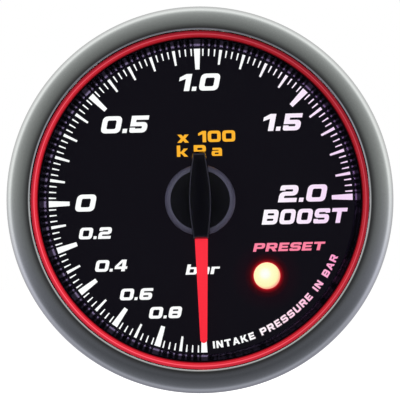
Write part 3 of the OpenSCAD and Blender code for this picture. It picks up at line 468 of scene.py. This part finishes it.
def close_mesh():
    """Turns the open piece's faces outwards, and ends edit mode."""
    bpy.ops.mesh.select_all(action="SELECT")
    bpy.ops.mesh.normals_make_consistent(inside=False)
    bpy.ops.object.mode_set(mode="OBJECT")


def start(name):
    """Names the primitive that was just added, and opens it in edit mode."""
    piece = bpy.context.object
    piece.name = piece.data.name = name
    bpy.ops.object.transform_apply(location=True, rotation=True, scale=True)
    bpy.ops.object.mode_set(mode="EDIT")
    return piece


def pick(piece, kind, test):
    """Selects the piece's verts by their place, or its edges by the places of both ends."""
    bpy.ops.mesh.select_mode(type={"verts": "VERT", "edges": "EDGE"}[kind])
    bpy.ops.mesh.select_all(action="DESELECT")
    mesh = bmesh.from_edit_mesh(piece.data)
    for part in getattr(mesh, kind):
        ends = [part] if kind == "verts" else part.verts
        part.select_set(test(*(v.co / MM for v in ends)))
    mesh.select_flush_mode()
    bmesh.update_edit_mesh(piece.data)


def finish_piece(piece, body, slot, replaced=(), angle=30, finish=None):
    """Ends edit mode, shades the piece, gives it its finish and sets it on its body."""
    close_mesh()
    bpy.ops.object.shade_smooth_by_angle(angle=math.radians(angle))
    piece.data.materials.clear()
    piece.data.materials.append(finish or finishes[slot])
    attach(piece, body)
    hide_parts(*replaced)
    return piece


def second_finish(piece, finish, test):
    """Gives another finish to those faces of a finished piece that pass the test."""
    piece.data.materials.append(finish)
    for face in piece.data.polygons:
        if test(face):
            face.material_index = 1


def from_axis(face):
    """Distance of a face's middle from the gauge's axis, in millimetres."""
    return math.hypot(face.center.x, face.center.z) / MM


def turned(name, profile, steps=240, closed=True):
    """A turned piece in edit mode: one vertex is drawn through the profile's radii and heights, and
    back to its start if the piece is hollow, and the outline is spun round the gauge's axis."""
    deselect()
    bpy.ops.mesh.primitive_plane_add(size=MM, location=(0, 0, 0))
    piece = start(name)
    bpy.ops.mesh.select_mode(type="VERT")
    bpy.ops.mesh.select_all(action="SELECT")
    bpy.ops.mesh.merge(type="CENTER")
    here = Vector((0, 0, 0))
    for i, (r, z) in enumerate(profile + profile[:1] if closed else profile):
        there = facing(r, 0, z)
        if i == 0:
            bpy.ops.transform.translate(value=there - here)
        else:
            bpy.ops.mesh.extrude_region_move(TRANSFORM_OT_translate={"value": there - here})
        here = there
    weld()
    bpy.ops.mesh.spin(steps=steps, angle=2 * math.pi, center=(0, 0, 0), axis=(0, 1, 0))
    weld()
    return piece


def arc(centre, r, start_angle, end_angle, steps):
    """Points of an arc in a profile, from one angle to the other, in degrees from the radius."""
    angles = [math.radians(start_angle + (end_angle - start_angle) * k / steps) for k in range(steps + 1)]
    return [(centre[0] + r * math.cos(a), centre[1] + r * math.sin(a)) for a in angles]


# Bezel

bezel_r = radius("bezel_ring")
crest_z = front("bezel_ring")
brow_z = front("lens_glass")
opening_r = 27.91
brow_flat = 0.5
brow_round = 0.35
brow_lean = 0.13
cavity_r = bezel_r - 1
lip_in_r = radius("housing_cup") - 1.05
lip_z = 0.8
rear_break = 0.25
crest_r = bezel_r - opening_r - brow_flat

bezel = turned("bezel", (
    [(lip_in_r, 0.0)]
    + arc((bezel_r - rear_break, rear_break), rear_break, -90, 0, 3)
    + arc((bezel_r - crest_r, crest_z - crest_r), crest_r, 0, 90, 28)
    + arc((opening_r + brow_round, crest_z - brow_round), brow_round, 90, 180, 6)
    + [(opening_r - brow_lean, brow_z), (cavity_r, brow_z), (cavity_r, lip_z), (lip_in_r, lip_z)]
))
finish_piece(bezel, "case", "bezel_metal", ["bezel_ring"])
second_finish(bezel, cut_edge, lambda face: (
    from_axis(face) < opening_r + brow_round and -face.center.y / MM > brow_z + NEAR))

# Glow ring

ring_r = radius("glow_ring")
ring_top = front("glow_ring")
ring_foot = -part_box("glow_ring")[1].y / MM
glow = turned("glow_ring_lit", (
    [(ring_r - RING_WALL, ring_foot), (ring_r, ring_foot)]
    + arc((ring_r - RING_WALL / 2, ring_top - RING_WALL / 2), RING_WALL / 2, 0, 180, 12)
))
finish_piece(glow, "case", "red_glow", ["glow_ring"])

# Liner

liner_r = radius("dial_liner")
liner_top = front("dial_liner")
dial_z = front("dial_plate")
liner_foot_r = liner_r - LINER_SLOPE
liner_rim = 0.3
liner = turned("liner", (
    [(liner_foot_r, dial_z), (liner_r, dial_z)]
    + arc((liner_r - liner_rim / 2, liner_top - liner_rim / 2), liner_rim / 2, 0, 150, 5)
))
finish_piece(liner, "case", "black_gloss", ["dial_liner"], finish=liner_satin)

# Pointer cap: a disc with a satin edge in painted sheen, and a rib with bowed sides across it

cap_r = radius("pointer_cap")
cap_back = -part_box("pointer_cap")[1].y / MM
cap_h = 2.7
cap_edge = 0.93
cap_top = cap_back + cap_h
deselect()
bpy.ops.mesh.primitive_cylinder_add(
    vertices=128, radius=cap_r * MM, depth=cap_h * MM,
    location=facing(0, 0, cap_back + cap_h / 2), rotation=(math.pi / 2, 0, 0))
cap = start("cap_disc")
pick(cap, "edges", lambda a, b: min(-a.y, -b.y) > cap_top - NEAR)
bpy.ops.mesh.bevel(offset=cap_edge * MM, segments=5, affect="EDGES", profile=0.42)
finish_piece(cap, "pointer", "black_gloss", ["pointer_cap"], finish=cap_black)
# The disc's edge gets the paler colour of the painted sheen
second_finish(cap, sheen_painted_edge, lambda face: (
    from_axis(face) > cap_r - 1.02 * cap_edge and face.normal.y < -0.02))

rib_h = 1.6
rib_top = cap_top + rib_h
rib_w = 3.9
rib_top_w = 0.93
rib_top_len = 0.95
rib_round = 0.18
rib_tail_w = 2.05
rib_nose_w = 2.64
rib_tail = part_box("pointer_cap")[1].z / MM
rib_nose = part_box("pointer_cap")[0].z / MM
rib_cuts = 12
rib_len = rib_tail - rib_nose
deselect()
bpy.ops.mesh.primitive_cube_add(
    size=1, location=facing(0, (rib_tail + rib_nose) / 2, (cap_back + rib_top) / 2),
    scale=(MM, (rib_top - cap_back) * MM, rib_len * MM))
rib = start("cap_rib")
for k in range(1, rib_cuts):
    bpy.ops.mesh.select_all(action="SELECT")
    bpy.ops.mesh.bisect(plane_co=facing(0, rib_nose + rib_len * k / rib_cuts, 0), plane_no=(0, 0, 1))
bpy.ops.mesh.select_all(action="SELECT")
bpy.ops.mesh.bisect(plane_co=facing(0, 0, cap_top), plane_no=(0, 1, 0))


def rib_width(y):
    """Width of the rib at a distance from the centre, drawn in smoothly to its two ends."""
    reach, end = (rib_tail, rib_tail_w) if y > 0 else (rib_nose, rib_nose_w)
    return end + (rib_w - end) * math.cos(math.pi / 2 * y / reach)


def on_rim(a, b):
    """True for an edge of the rib's top that runs along a side or across an end."""
    near_end = 0.9 * rib_top_len
    along_side = min(abs(a.x), abs(b.x)) > 0.4 and a.x * b.x > 0
    across_end = abs(a.z - b.z) < NEAR and (a.z > near_end * rib_tail or a.z < near_end * rib_nose)
    return min(-a.y, -b.y) > rib_top - NEAR and (along_side or across_end)


for k in range(rib_cuts + 1):
    y = rib_nose + rib_len * k / rib_cuts
    pick(rib, "verts", lambda p: abs(p.z - y) < NEAR)
    bpy.ops.transform.resize(value=(rib_width(y), 1, 1), center_override=(0, 0, 0))
pick(rib, "verts", lambda p: -p.y > rib_top - NEAR)
bpy.ops.transform.resize(value=(rib_top_w, 1, rib_top_len), center_override=(0, 0, 0))
pick(rib, "edges", on_rim)
bpy.ops.mesh.bevel(offset=rib_round * MM, segments=3, affect="EDGES")
finish_piece(rib, "pointer", "black_gloss", ["pointer_cap"], angle=35, finish=cap_black)
# The rounding's faces are small, and lean between the top and the sides; they get the painted reflection
second_finish(rib, rib_sheen_painted, lambda face: (
    face.area < 0.2 * MM * MM and 0.2 < -face.normal.y < 0.98))

# Lettering, in shares of a capital's height

STROKE = 0.31
BAR = 0.245
WIDE = 1.08
ZERO_W = 1.15
FIVE_W = 1.02
DOT_W = 0.26
OUTER = 0.3
INNER = 0.1
SLANT = math.tan(math.radians(12))
LETTER_GAP = 0.14
SPACE = 0.55


def block(left, low, right_side, high, r):
    """Corners of a rectangle with round corners."""
    return [(left, low, r), (left, high, r), (right_side, high, r), (right_side, low, r)]


def upper_eye(bottom):
    return block(STROKE, bottom, WIDE - STROKE, 1 - BAR, INNER)


def hoop(width):
    """Width and outlines of a tall round letter."""
    return width, [block(0, 0, width, 1, OUTER), block(STROKE, BAR, width - STROKE, 1 - BAR, INNER)]


# Width of each letter, and its outlines as corners with a radius each
GLYPHS = {
    "0": hoop(ZERO_W),
    "O": hoop(WIDE),
    "1": (0.7, [[(0.38, 0, 0), (0.38, 0.72, 0), (0, 0.58, 0), (0, 0.8, 0), (0.36, 1, 0), (0.7, 1, 0),
                 (0.7, 0, 0)]]),
    "2": (WIDE, [[(0, 0, 0), (0, 0.62, OUTER), (WIDE - STROKE, 0.62, INNER),
                  (WIDE - STROKE, 1 - BAR, INNER), (STROKE, 1 - BAR, INNER), (STROKE, 0.69, 0),
                  (0, 0.69, 0), (0, 1, OUTER), (WIDE, 1, OUTER), (WIDE, 0.38, OUTER),
                  (STROKE, 0.38, INNER), (STROKE, BAR, 0), (WIDE, BAR, 0), (WIDE, 0, 0)]]),
    "4": (WIDE, [[(0.6, 0, 0), (0.6, 0.2, 0), (0, 0.2, 0), (0, 0.44, 0), (0.5, 1, 0), (0.92, 1, 0),
                  (0.92, 0.42, 0), (WIDE, 0.42, 0), (WIDE, 0.2, 0), (0.92, 0.2, 0), (0.92, 0, 0)],
                 [(0.28, 0.42, 0), (0.6, 0.78, 0), (0.6, 0.42, 0)]]),
    "5": (FIVE_W, [[(0, 0, OUTER), (0, 0.3, 0), (STROKE, 0.3, 0), (STROKE, BAR, INNER),
                    (FIVE_W - STROKE, BAR, INNER), (FIVE_W - STROKE, 0.38, INNER), (0, 0.38, 0),
                    (0, 1, 0), (FIVE_W, 1, 0), (FIVE_W, 1 - BAR, 0), (STROKE, 1 - BAR, 0),
                    (STROKE, 0.62, 0), (FIVE_W, 0.62, OUTER), (FIVE_W, 0, OUTER)]]),
    "6": (WIDE, [[(0, 0, OUTER), (0, 1, OUTER), (WIDE, 1, INNER), (WIDE, 1 - BAR, 0),
                  (STROKE, 1 - BAR, INNER), (STROKE, 0.62, 0), (WIDE, 0.62, OUTER), (WIDE, 0, OUTER)],
                 block(STROKE, BAR, WIDE - STROKE, 0.4, INNER)]),
    "8": (WIDE, [block(0, 0, WIDE, 1, OUTER), upper_eye(0.61),
                 block(STROKE, BAR, WIDE - STROKE, 0.39, INNER)]),
    ".": (DOT_W, [block(0, 0, DOT_W, BAR, 0)]),
    "A": (1.14, [[(0, 0, 0), (0.4, 1, 0), (0.74, 1, 0), (1.14, 0, 0), (0.82, 0, 0), (0.745, 0.2, 0),
                  (0.395, 0.2, 0), (0.32, 0, 0)], [(0.475, 0.4, 0), (0.57, 0.7, 0), (0.665, 0.4, 0)]]),
    "B": (WIDE, [[(0, 0, 0), (0, 1, 0), (WIDE, 1, OUTER), (WIDE, 0, OUTER)], upper_eye(0.61),
                 block(STROKE, BAR, WIDE - STROKE, 0.39, INNER)]),
    "E": (0.96, [[(0, 0, 0), (0, 1, 0), (0.96, 1, 0), (0.96, 1 - BAR, 0), (STROKE, 1 - BAR, 0),
                  (STROKE, 0.61, 0), (0.88, 0.61, 0), (0.88, 0.39, 0), (STROKE, 0.39, 0),
                  (STROKE, BAR, 0), (0.96, BAR, 0), (0.96, 0, 0)]]),
    "I": (STROKE, [block(0, 0, STROKE, 1, 0)]),
    "K": (1.12, [[(0, 0, 0), (0, 1, 0), (STROKE, 1, 0), (STROKE, 0.62, 0), (0.42, 0.62, 0),
                  (0.7, 1, 0), (1.08, 1, 0), (0.68, 0.52, 0), (1.12, 0, 0), (0.74, 0, 0),
                  (0.42, 0.4, 0), (STROKE, 0.4, 0), (STROKE, 0, 0)]]),
    "N": (WIDE, [[(0, 0, 0), (0, 1, 0), (0.34, 1, 0), (WIDE - STROKE, 0.42, 0),
                  (WIDE - STROKE, 1, 0), (WIDE, 1, 0), (WIDE, 0, 0), (0.74, 0, 0), (STROKE, 0.58, 0),
                  (STROKE, 0, 0)]]),
    "P": (WIDE, [[(0, 0, 0), (0, 1, 0), (WIDE, 1, OUTER), (WIDE, 0.33, OUTER), (STROKE, 0.33, 0),
                  (STROKE, 0, 0)], upper_eye(0.56)]),
    "R": (1.12, [[(0, 0, 0), (0, 1, 0), (WIDE, 1, OUTER), (WIDE, 0.36, OUTER), (0.86, 0.36, 0),
                  (1.12, 0, 0), (0.74, 0, 0), (0.52, 0.34, 0), (STROKE, 0.34, 0), (STROKE, 0, 0)],
                 upper_eye(0.57)]),
    "S": (WIDE, [[(0, 0, OUTER), (0, 0.3, 0), (STROKE, 0.3, 0), (STROKE, BAR, INNER),
                  (WIDE - STROKE, BAR, INNER), (WIDE - STROKE, 0.38, INNER), (0, 0.38, OUTER),
                  (0, 1, OUTER), (WIDE, 1, OUTER), (WIDE, 0.7, 0), (WIDE - STROKE, 0.7, 0),
                  (WIDE - STROKE, 1 - BAR, INNER), (STROKE, 1 - BAR, INNER), (STROKE, 0.62, INNER),
                  (WIDE, 0.62, OUTER), (WIDE, 0, OUTER)]]),
    "T": (WIDE, [[(0.38, 0, 0), (0.38, 1 - BAR, 0), (0, 1 - BAR, 0), (0, 1, 0), (WIDE, 1, 0),
                  (WIDE, 1 - BAR, 0), (0.7, 1 - BAR, 0), (0.7, 0, 0)]]),
    "U": (WIDE, [[(0, 0, OUTER), (0, 1, 0), (STROKE, 1, 0), (STROKE, BAR, INNER),
                  (WIDE - STROKE, BAR, INNER), (WIDE - STROKE, 1, 0), (WIDE, 1, 0), (WIDE, 0, OUTER)]]),
    "a": (0.92, [[(0, 0, 0.18), (0, 0.46, 0.18), (0.62, 0.46, 0), (0.62, 0.54, 0.05), (0.08, 0.54, 0),
                  (0.08, 0.72, 0), (0.92, 0.72, 0.22), (0.92, 0, 0)],
                 block(0.28, 0.16, 0.62, 0.3, 0.04)]),
    "b": (0.96, [[(0, 0, 0), (0, 1, 0), (0.3, 1, 0), (0.3, 0.72, 0), (0.96, 0.72, 0.22),
                  (0.96, 0, 0.22)], block(0.3, 0.19, 0.66, 0.53, 0.06)]),
    "k": (1.0, [[(0, 0, 0), (0, 1, 0), (0.3, 1, 0), (0.3, 0.45, 0), (0.4, 0.45, 0), (0.62, 0.72, 0),
                 (0.98, 0.72, 0), (0.62, 0.37, 0), (1.0, 0, 0), (0.64, 0, 0), (0.4, 0.27, 0),
                 (0.3, 0.27, 0), (0.3, 0, 0)]]),
    "r": (0.72, [[(0, 0, 0), (0, 0.72, 0), (0.72, 0.72, 0.05), (0.72, 0.52, 0), (0.3, 0.52, 0.05),
                  (0.3, 0, 0)]]),
    "x": (1.04, [[(0, 0, 0), (0.33, 0.36, 0), (0.02, 0.72, 0), (0.38, 0.72, 0), (0.52, 0.54, 0),
                  (0.66, 0.72, 0), (1.02, 0.72, 0), (0.71, 0.36, 0), (1.04, 0, 0), (0.68, 0, 0),
                  (0.52, 0.18, 0), (0.36, 0, 0)]]),
}


def rounded(corners, steps=5):
    """Closed outline through the corners, each with its own curve."""
    points = []
    for i, (x, y, r) in enumerate(corners):
        here = Vector((x, y))
        back = Vector(corners[i - 1][:2]) - here
        ahead = Vector(corners[(i + 1) % len(corners)][:2]) - here
        reach = min(r, back.length / 2, ahead.length / 2)
        if reach == 0:
            points.append(here)
            continue
        first, last = here + back.normalized() * reach, here + ahead.normalized() * reach
        for k in range(steps + 1):
            t = k / steps
            points.append(first * (1 - t) ** 2 + here * 2 * t * (1 - t) + last * t * t)
    return points


def row_of_letters(text, height, place, stretch, slant, gap):
    """Outlines of a row of letters. place takes a point of the row, measured in millimetres from the
    row's middle, to the face."""
    widths = [SPACE if letter == " " else GLYPHS[letter][0] for letter in text]
    left = -(sum(widths) + gap * (len(text) - 1)) / 2
    outlines = []
    for letter, width in zip(text, widths):
        for corners in GLYPHS[letter][1] if letter != " " else []:
            outlines.append([
                place((left + p.x + (p.y - 0.5) * slant) * stretch * height, (p.y - 0.5) * height)
                for p in rounded(corners)])
        left += width + gap
    return outlines


def lettering(name, text, height, finish, place, stretch=1.0, slant=SLANT, gap=LETTER_GAP):
    """A row of letters as one piece, as thick as the scale's print."""
    curve = bpy.data.curves.new(name, "CURVE")
    curve.dimensions = "2D"
    curve.fill_mode = "BOTH"
    curve.extrude = print_t / 2 * MM
    for outline in row_of_letters(text, height, place, stretch, slant, gap):
        spline = curve.splines.new("POLY")
        spline.points.add(len(outline) - 1)
        for point, (x, y) in zip(spline.points, outline):
            point.co = (x * MM, y * MM, 0, 1)
        spline.use_cyclic_u = True
    piece = bpy.data.objects.new(name, curve)
    scene.collection.objects.link(piece)
    choose(piece)
    bpy.ops.object.convert(target="MESH")
    piece.location = facing(0, 0, dial_z + print_t / 2)
    piece.rotation_euler = (math.pi / 2, 0, 0)
    bpy.ops.object.transform_apply(location=True, rotation=True, scale=True)
    bpy.ops.object.mode_set(mode="EDIT")
    weld()
    return finish_piece(piece, "case", "scale_white", finish=finish)


def straight(x, y):
    """Along a level line, with the row's middle at this place on the face."""
    return lambda u, v: (x + u, y + v)


def along_arc(r, middle):
    """Along a circle round the axis, with the letters' heads towards the axis."""
    def place(u, v):
        a = math.radians(middle) + u / r
        return (r - v) * math.cos(a), (r - v) * math.sin(a)
    return place


print_t = front("scale_marks") - dial_z
white = finishes["scale_white"]
big = 2.86
small = 1.95
# Middle of each number on the face, in millimetres
for name, text, height, x, y in [
    ("number_0", "0", big, -19.37, 0.05),
    ("number_0.5", "0.5", big, -12.47, 13.13),
    ("number_1.0", "1.0", big, 0.23, 19.94),
    ("number_1.5", "1.5", big, 14.05, 12.86),
    ("number_2.0", "2.0", big, 17.26, 0.79),
    ("number_-0.2", "0.2", small, -17.87, -5.08),
    ("number_-0.4", "0.4", small, -15.27, -10.62),
    ("number_-0.6", "0.6", small, -11.2, -15.52),
    ("number_-0.8", "0.8", small, -6.38, -18.72),
]:
    lettering(name, text, height, white, straight(x, y))
lettering("unit_bar", "bar", 1.72, white, straight(0.13, -11.58), stretch=1.12)
lettering("word_boost", "BOOST", 2.51, white, straight(17.46, -3.08), stretch=0.94)
lettering("word_preset", "PRESET", 1.42, pink_print, straight(14.72, -8.14), stretch=1.2)
lettering("word_x100", "x 100", 1.9, amber_print, straight(1.2, 10.76), slant=0)
lettering("word_kPa", "kPa", 1.9, amber_print, straight(0, 8.4), slant=0, gap=0.5)
lettering("arc_text", "INTAKE PRESSURE IN BAR", 1.2, arc_print, along_arc(24.4, -55.0), stretch=0.86,
          slant=0, gap=0.26)

# Mounting studs: a core, and a thread that winds round it

stud_x = 18
stud_r = 2
head_r = 3.4
neck_r = 2.4
stud_seat = -34.8
stud_wall = -32.0
stud_head = -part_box("mounting_studs")[0].y / MM
stud_tip = -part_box("mounting_studs")[1].y / MM
head_break = 0.2
tip_break = 0.3
stud_steps = 36
thread_pitch = 0.7
thread_depth = 0.38
thread_sunk = 0.1
core_r = stud_r - thread_depth
# Width of the thread's foot, and the share of it that its crest has
thread_foot_w = 0.88 * thread_pitch
thread_crest = 0.14
thread_foot_r = core_r - thread_sunk
thread_mid_r = (thread_foot_r + stud_r) / 2
thread_from = stud_seat - 0.4
thread_turns = int((thread_from - stud_tip) / thread_pitch) - 1


def thread():
    """A right-hand ridge round the gauge's axis: a plane, narrowed at its outer edge and drawn
    round by a screw."""
    deselect()
    bpy.ops.mesh.primitive_plane_add(size=MM, location=facing(thread_mid_r, 0, thread_from))
    ridge = start("thread")
    bpy.ops.mesh.select_all(action="SELECT")
    bpy.ops.transform.resize(value=(stud_r - thread_foot_r, thread_foot_w, 1),
                             center_override=facing(thread_mid_r, 0, thread_from))
    pick(ridge, "verts", lambda p: p.x > thread_mid_r)
    bpy.ops.transform.resize(value=(1, thread_crest, 1), center_override=facing(0, 0, thread_from))
    bpy.ops.object.mode_set(mode="OBJECT")
    winding = ridge.modifiers.new("winding", "SCREW")
    winding.axis = "Y"
    winding.steps = winding.render_steps = stud_steps
    winding.iterations = thread_turns
    winding.screw_offset = thread_pitch * MM
    bpy.ops.object.modifier_apply(modifier="winding")
    bpy.ops.object.mode_set(mode="EDIT")
    weld()
    bpy.ops.mesh.fill_holes(sides=4)
    close_mesh()


def stud():
    """The stud on the gauge's axis: a turned core, and the thread with its foot sunk into it."""
    core = turned("stud", [
        (0, stud_head), (head_r - head_break, stud_head), (head_r, stud_head - head_break),
        (head_r, stud_wall), (neck_r, stud_wall), (neck_r, stud_seat), (core_r, stud_seat),
        (core_r, stud_tip + tip_break), (core_r - tip_break, stud_tip), (0, stud_tip),
    ], steps=stud_steps, closed=False)
    close_mesh()
    thread()
    core.select_set(True)
    bpy.context.view_layer.objects.active = core
    bpy.ops.object.join()
    return core


right_stud = stud()
left_stud = right_stud.copy()
left_stud.data = right_stud.data.copy()
scene.collection.objects.link(left_stud)
for piece, side, name in ((right_stud, 1, "stud_right"), (left_stud, -1, "stud_left")):
    choose(piece)
    piece.name = piece.data.name = name
    piece.location = facing(side * stud_x, 0, 0)
    bpy.ops.object.transform_apply(location=True, rotation=True, scale=True)
    bpy.ops.object.mode_set(mode="EDIT")
    finish_piece(piece, "case", "stud_zinc", ["mounting_studs"], angle=40)

# Floor, world and lamps

floor_z = -62
floor_w = 6
floor_glow = 0.55
room_light = 0.62
studio_light = 2.1


def ray_kinds(tree):
    """Two sockets: one is 1 for rays that the camera sends, also through clear pieces, and the
    other for rays that shiny surfaces send."""
    path = add(tree, "ShaderNodeLightPath").outputs
    seen = add(tree, "ShaderNodeMath", {
        0: path["Is Camera Ray"], 1: path["Is Transmission Ray"]}, operation="MAXIMUM")
    return seen.outputs[0], path["Is Glossy Ray"]


# White paper below the gauge. It is brighter to the camera, so that it looks like the white room
deselect()
bpy.ops.mesh.primitive_plane_add(size=floor_w, location=(0, 0, floor_z * MM))
floor = bpy.context.object
floor.name = "floor"
floor.visible_glossy = False
paper, tree, where = new_material("floor_paper")
seen, _ = ray_kinds(tree)
speckle = add(tree, "ShaderNodeTexNoise", {"Vector": where, "Scale": per_mm(4)})
tone = add(tree, "ShaderNodeMapRange", {"Value": speckle.outputs["Fac"], "To Min": 0.78, "To Max": 0.82})
matte = add(tree, "ShaderNodeBsdfDiffuse", {"Color": tone.outputs[0]})
bright = add(tree, "ShaderNodeEmission", {"Color": linear("#ffffff"), "Strength": floor_glow})
lifted = add(tree, "ShaderNodeAddShader", {0: matte.outputs[0], 1: bright.outputs[0]})
floor.data.materials.append(close_material(paper, add(tree, "ShaderNodeMixShader", {
    0: seen, 1: matte.outputs[0], 2: lifted.outputs[0]})))

# The room is white to the camera. To shiny surfaces it is a studio: dark in front, where the camera
# stands, grey at the sides, white a little behind them and grey again straight behind the gauge. Its
# lower half is dimmer and bluer.
studio = bpy.data.worlds.new("studio")
scene.world = studio
studio.use_nodes = True
# Matte surfaces see an even room, so no map of its bright places is made
studio.cycles.sampling_method = "NONE"
tree = studio.node_tree
tree.nodes.clear()
seen, shiny_ray = ray_kinds(tree)
way = add(tree, "ShaderNodeTexCoord").outputs["Generated"]
split = add(tree, "ShaderNodeSeparateXYZ", {"Vector": way})
back_share = add(tree, "ShaderNodeMapRange", {
    "Value": split.outputs["Y"], "From Min": -1.0, "From Max": 1.0})
round_wall = add(tree, "ShaderNodeValToRGB", {"Fac": back_share.outputs[0]}, stops=[
    (0.0, "#282828"), (1.0, "#8c8c8c"), (0.016, "#4e4f4f"), (0.06, "#666867"), (0.2, "#7a7c7b"),
    (0.4, "#8e908f"), (0.526, "#9fa1a0"), (0.604, "#c4c6c5"), (0.679, "#ecedec"),
    (0.76, "#dedfde")])
up_share = add(tree, "ShaderNodeMapRange", {
    "Value": split.outputs["Z"], "From Min": -0.6, "From Max": 0.1})
low_dim = add(tree, "ShaderNodeValToRGB", {"Fac": up_share.outputs[0]}, stops=[
    (0.0, "#a6a6b2"), (1.0, "#ffffff"), (0.4, "#d4d3e2")])
mirrored = add(tree, "ShaderNodeVectorMath", {0: round_wall.outputs[0], 1: low_dim.outputs[0]},
               operation="MULTIPLY")
wall = add(tree, "ShaderNodeBackground", {"Color": linear("#ffffff"), "Strength": 1.0})
soft = add(tree, "ShaderNodeBackground", {"Color": linear("#ffffff"), "Strength": room_light})
shown = add(tree, "ShaderNodeBackground", {"Color": mirrored.outputs[0], "Strength": studio_light})
unseen = add(tree, "ShaderNodeMixShader", {0: shiny_ray, 1: soft.outputs[0], 2: shown.outputs[0]})
add(tree, "ShaderNodeOutputWorld", {"Surface": add(tree, "ShaderNodeMixShader", {
    0: seen, 1: unseen.outputs[0], 2: wall.outputs[0]}).outputs[0]})


def soft_lamp(name, place, size, power):
    """Square soft lamp aimed at the gauge. Shiny surfaces don't mirror it, since the studio's wall
    already stands for it there."""
    data = bpy.data.lights.new(name, "AREA")
    data.size = size
    data.energy = power
    lamp = bpy.data.objects.new(name, data)
    scene.collection.objects.link(lamp)
    lamp.location = place
    lamp.rotation_euler = (-Vector(place)).to_track_quat("-Z", "Y").to_euler()
    lamp.visible_glossy = False


soft_lamp("lamp_left", (-0.5, -0.35, 0.45), 0.4, 2.2)
soft_lamp("lamp_right", (0.55, -0.25, 0.3), 0.4, 1.4)
soft_lamp("lamp_behind", (0.1, 0.55, 0.5), 0.4, 2.0)
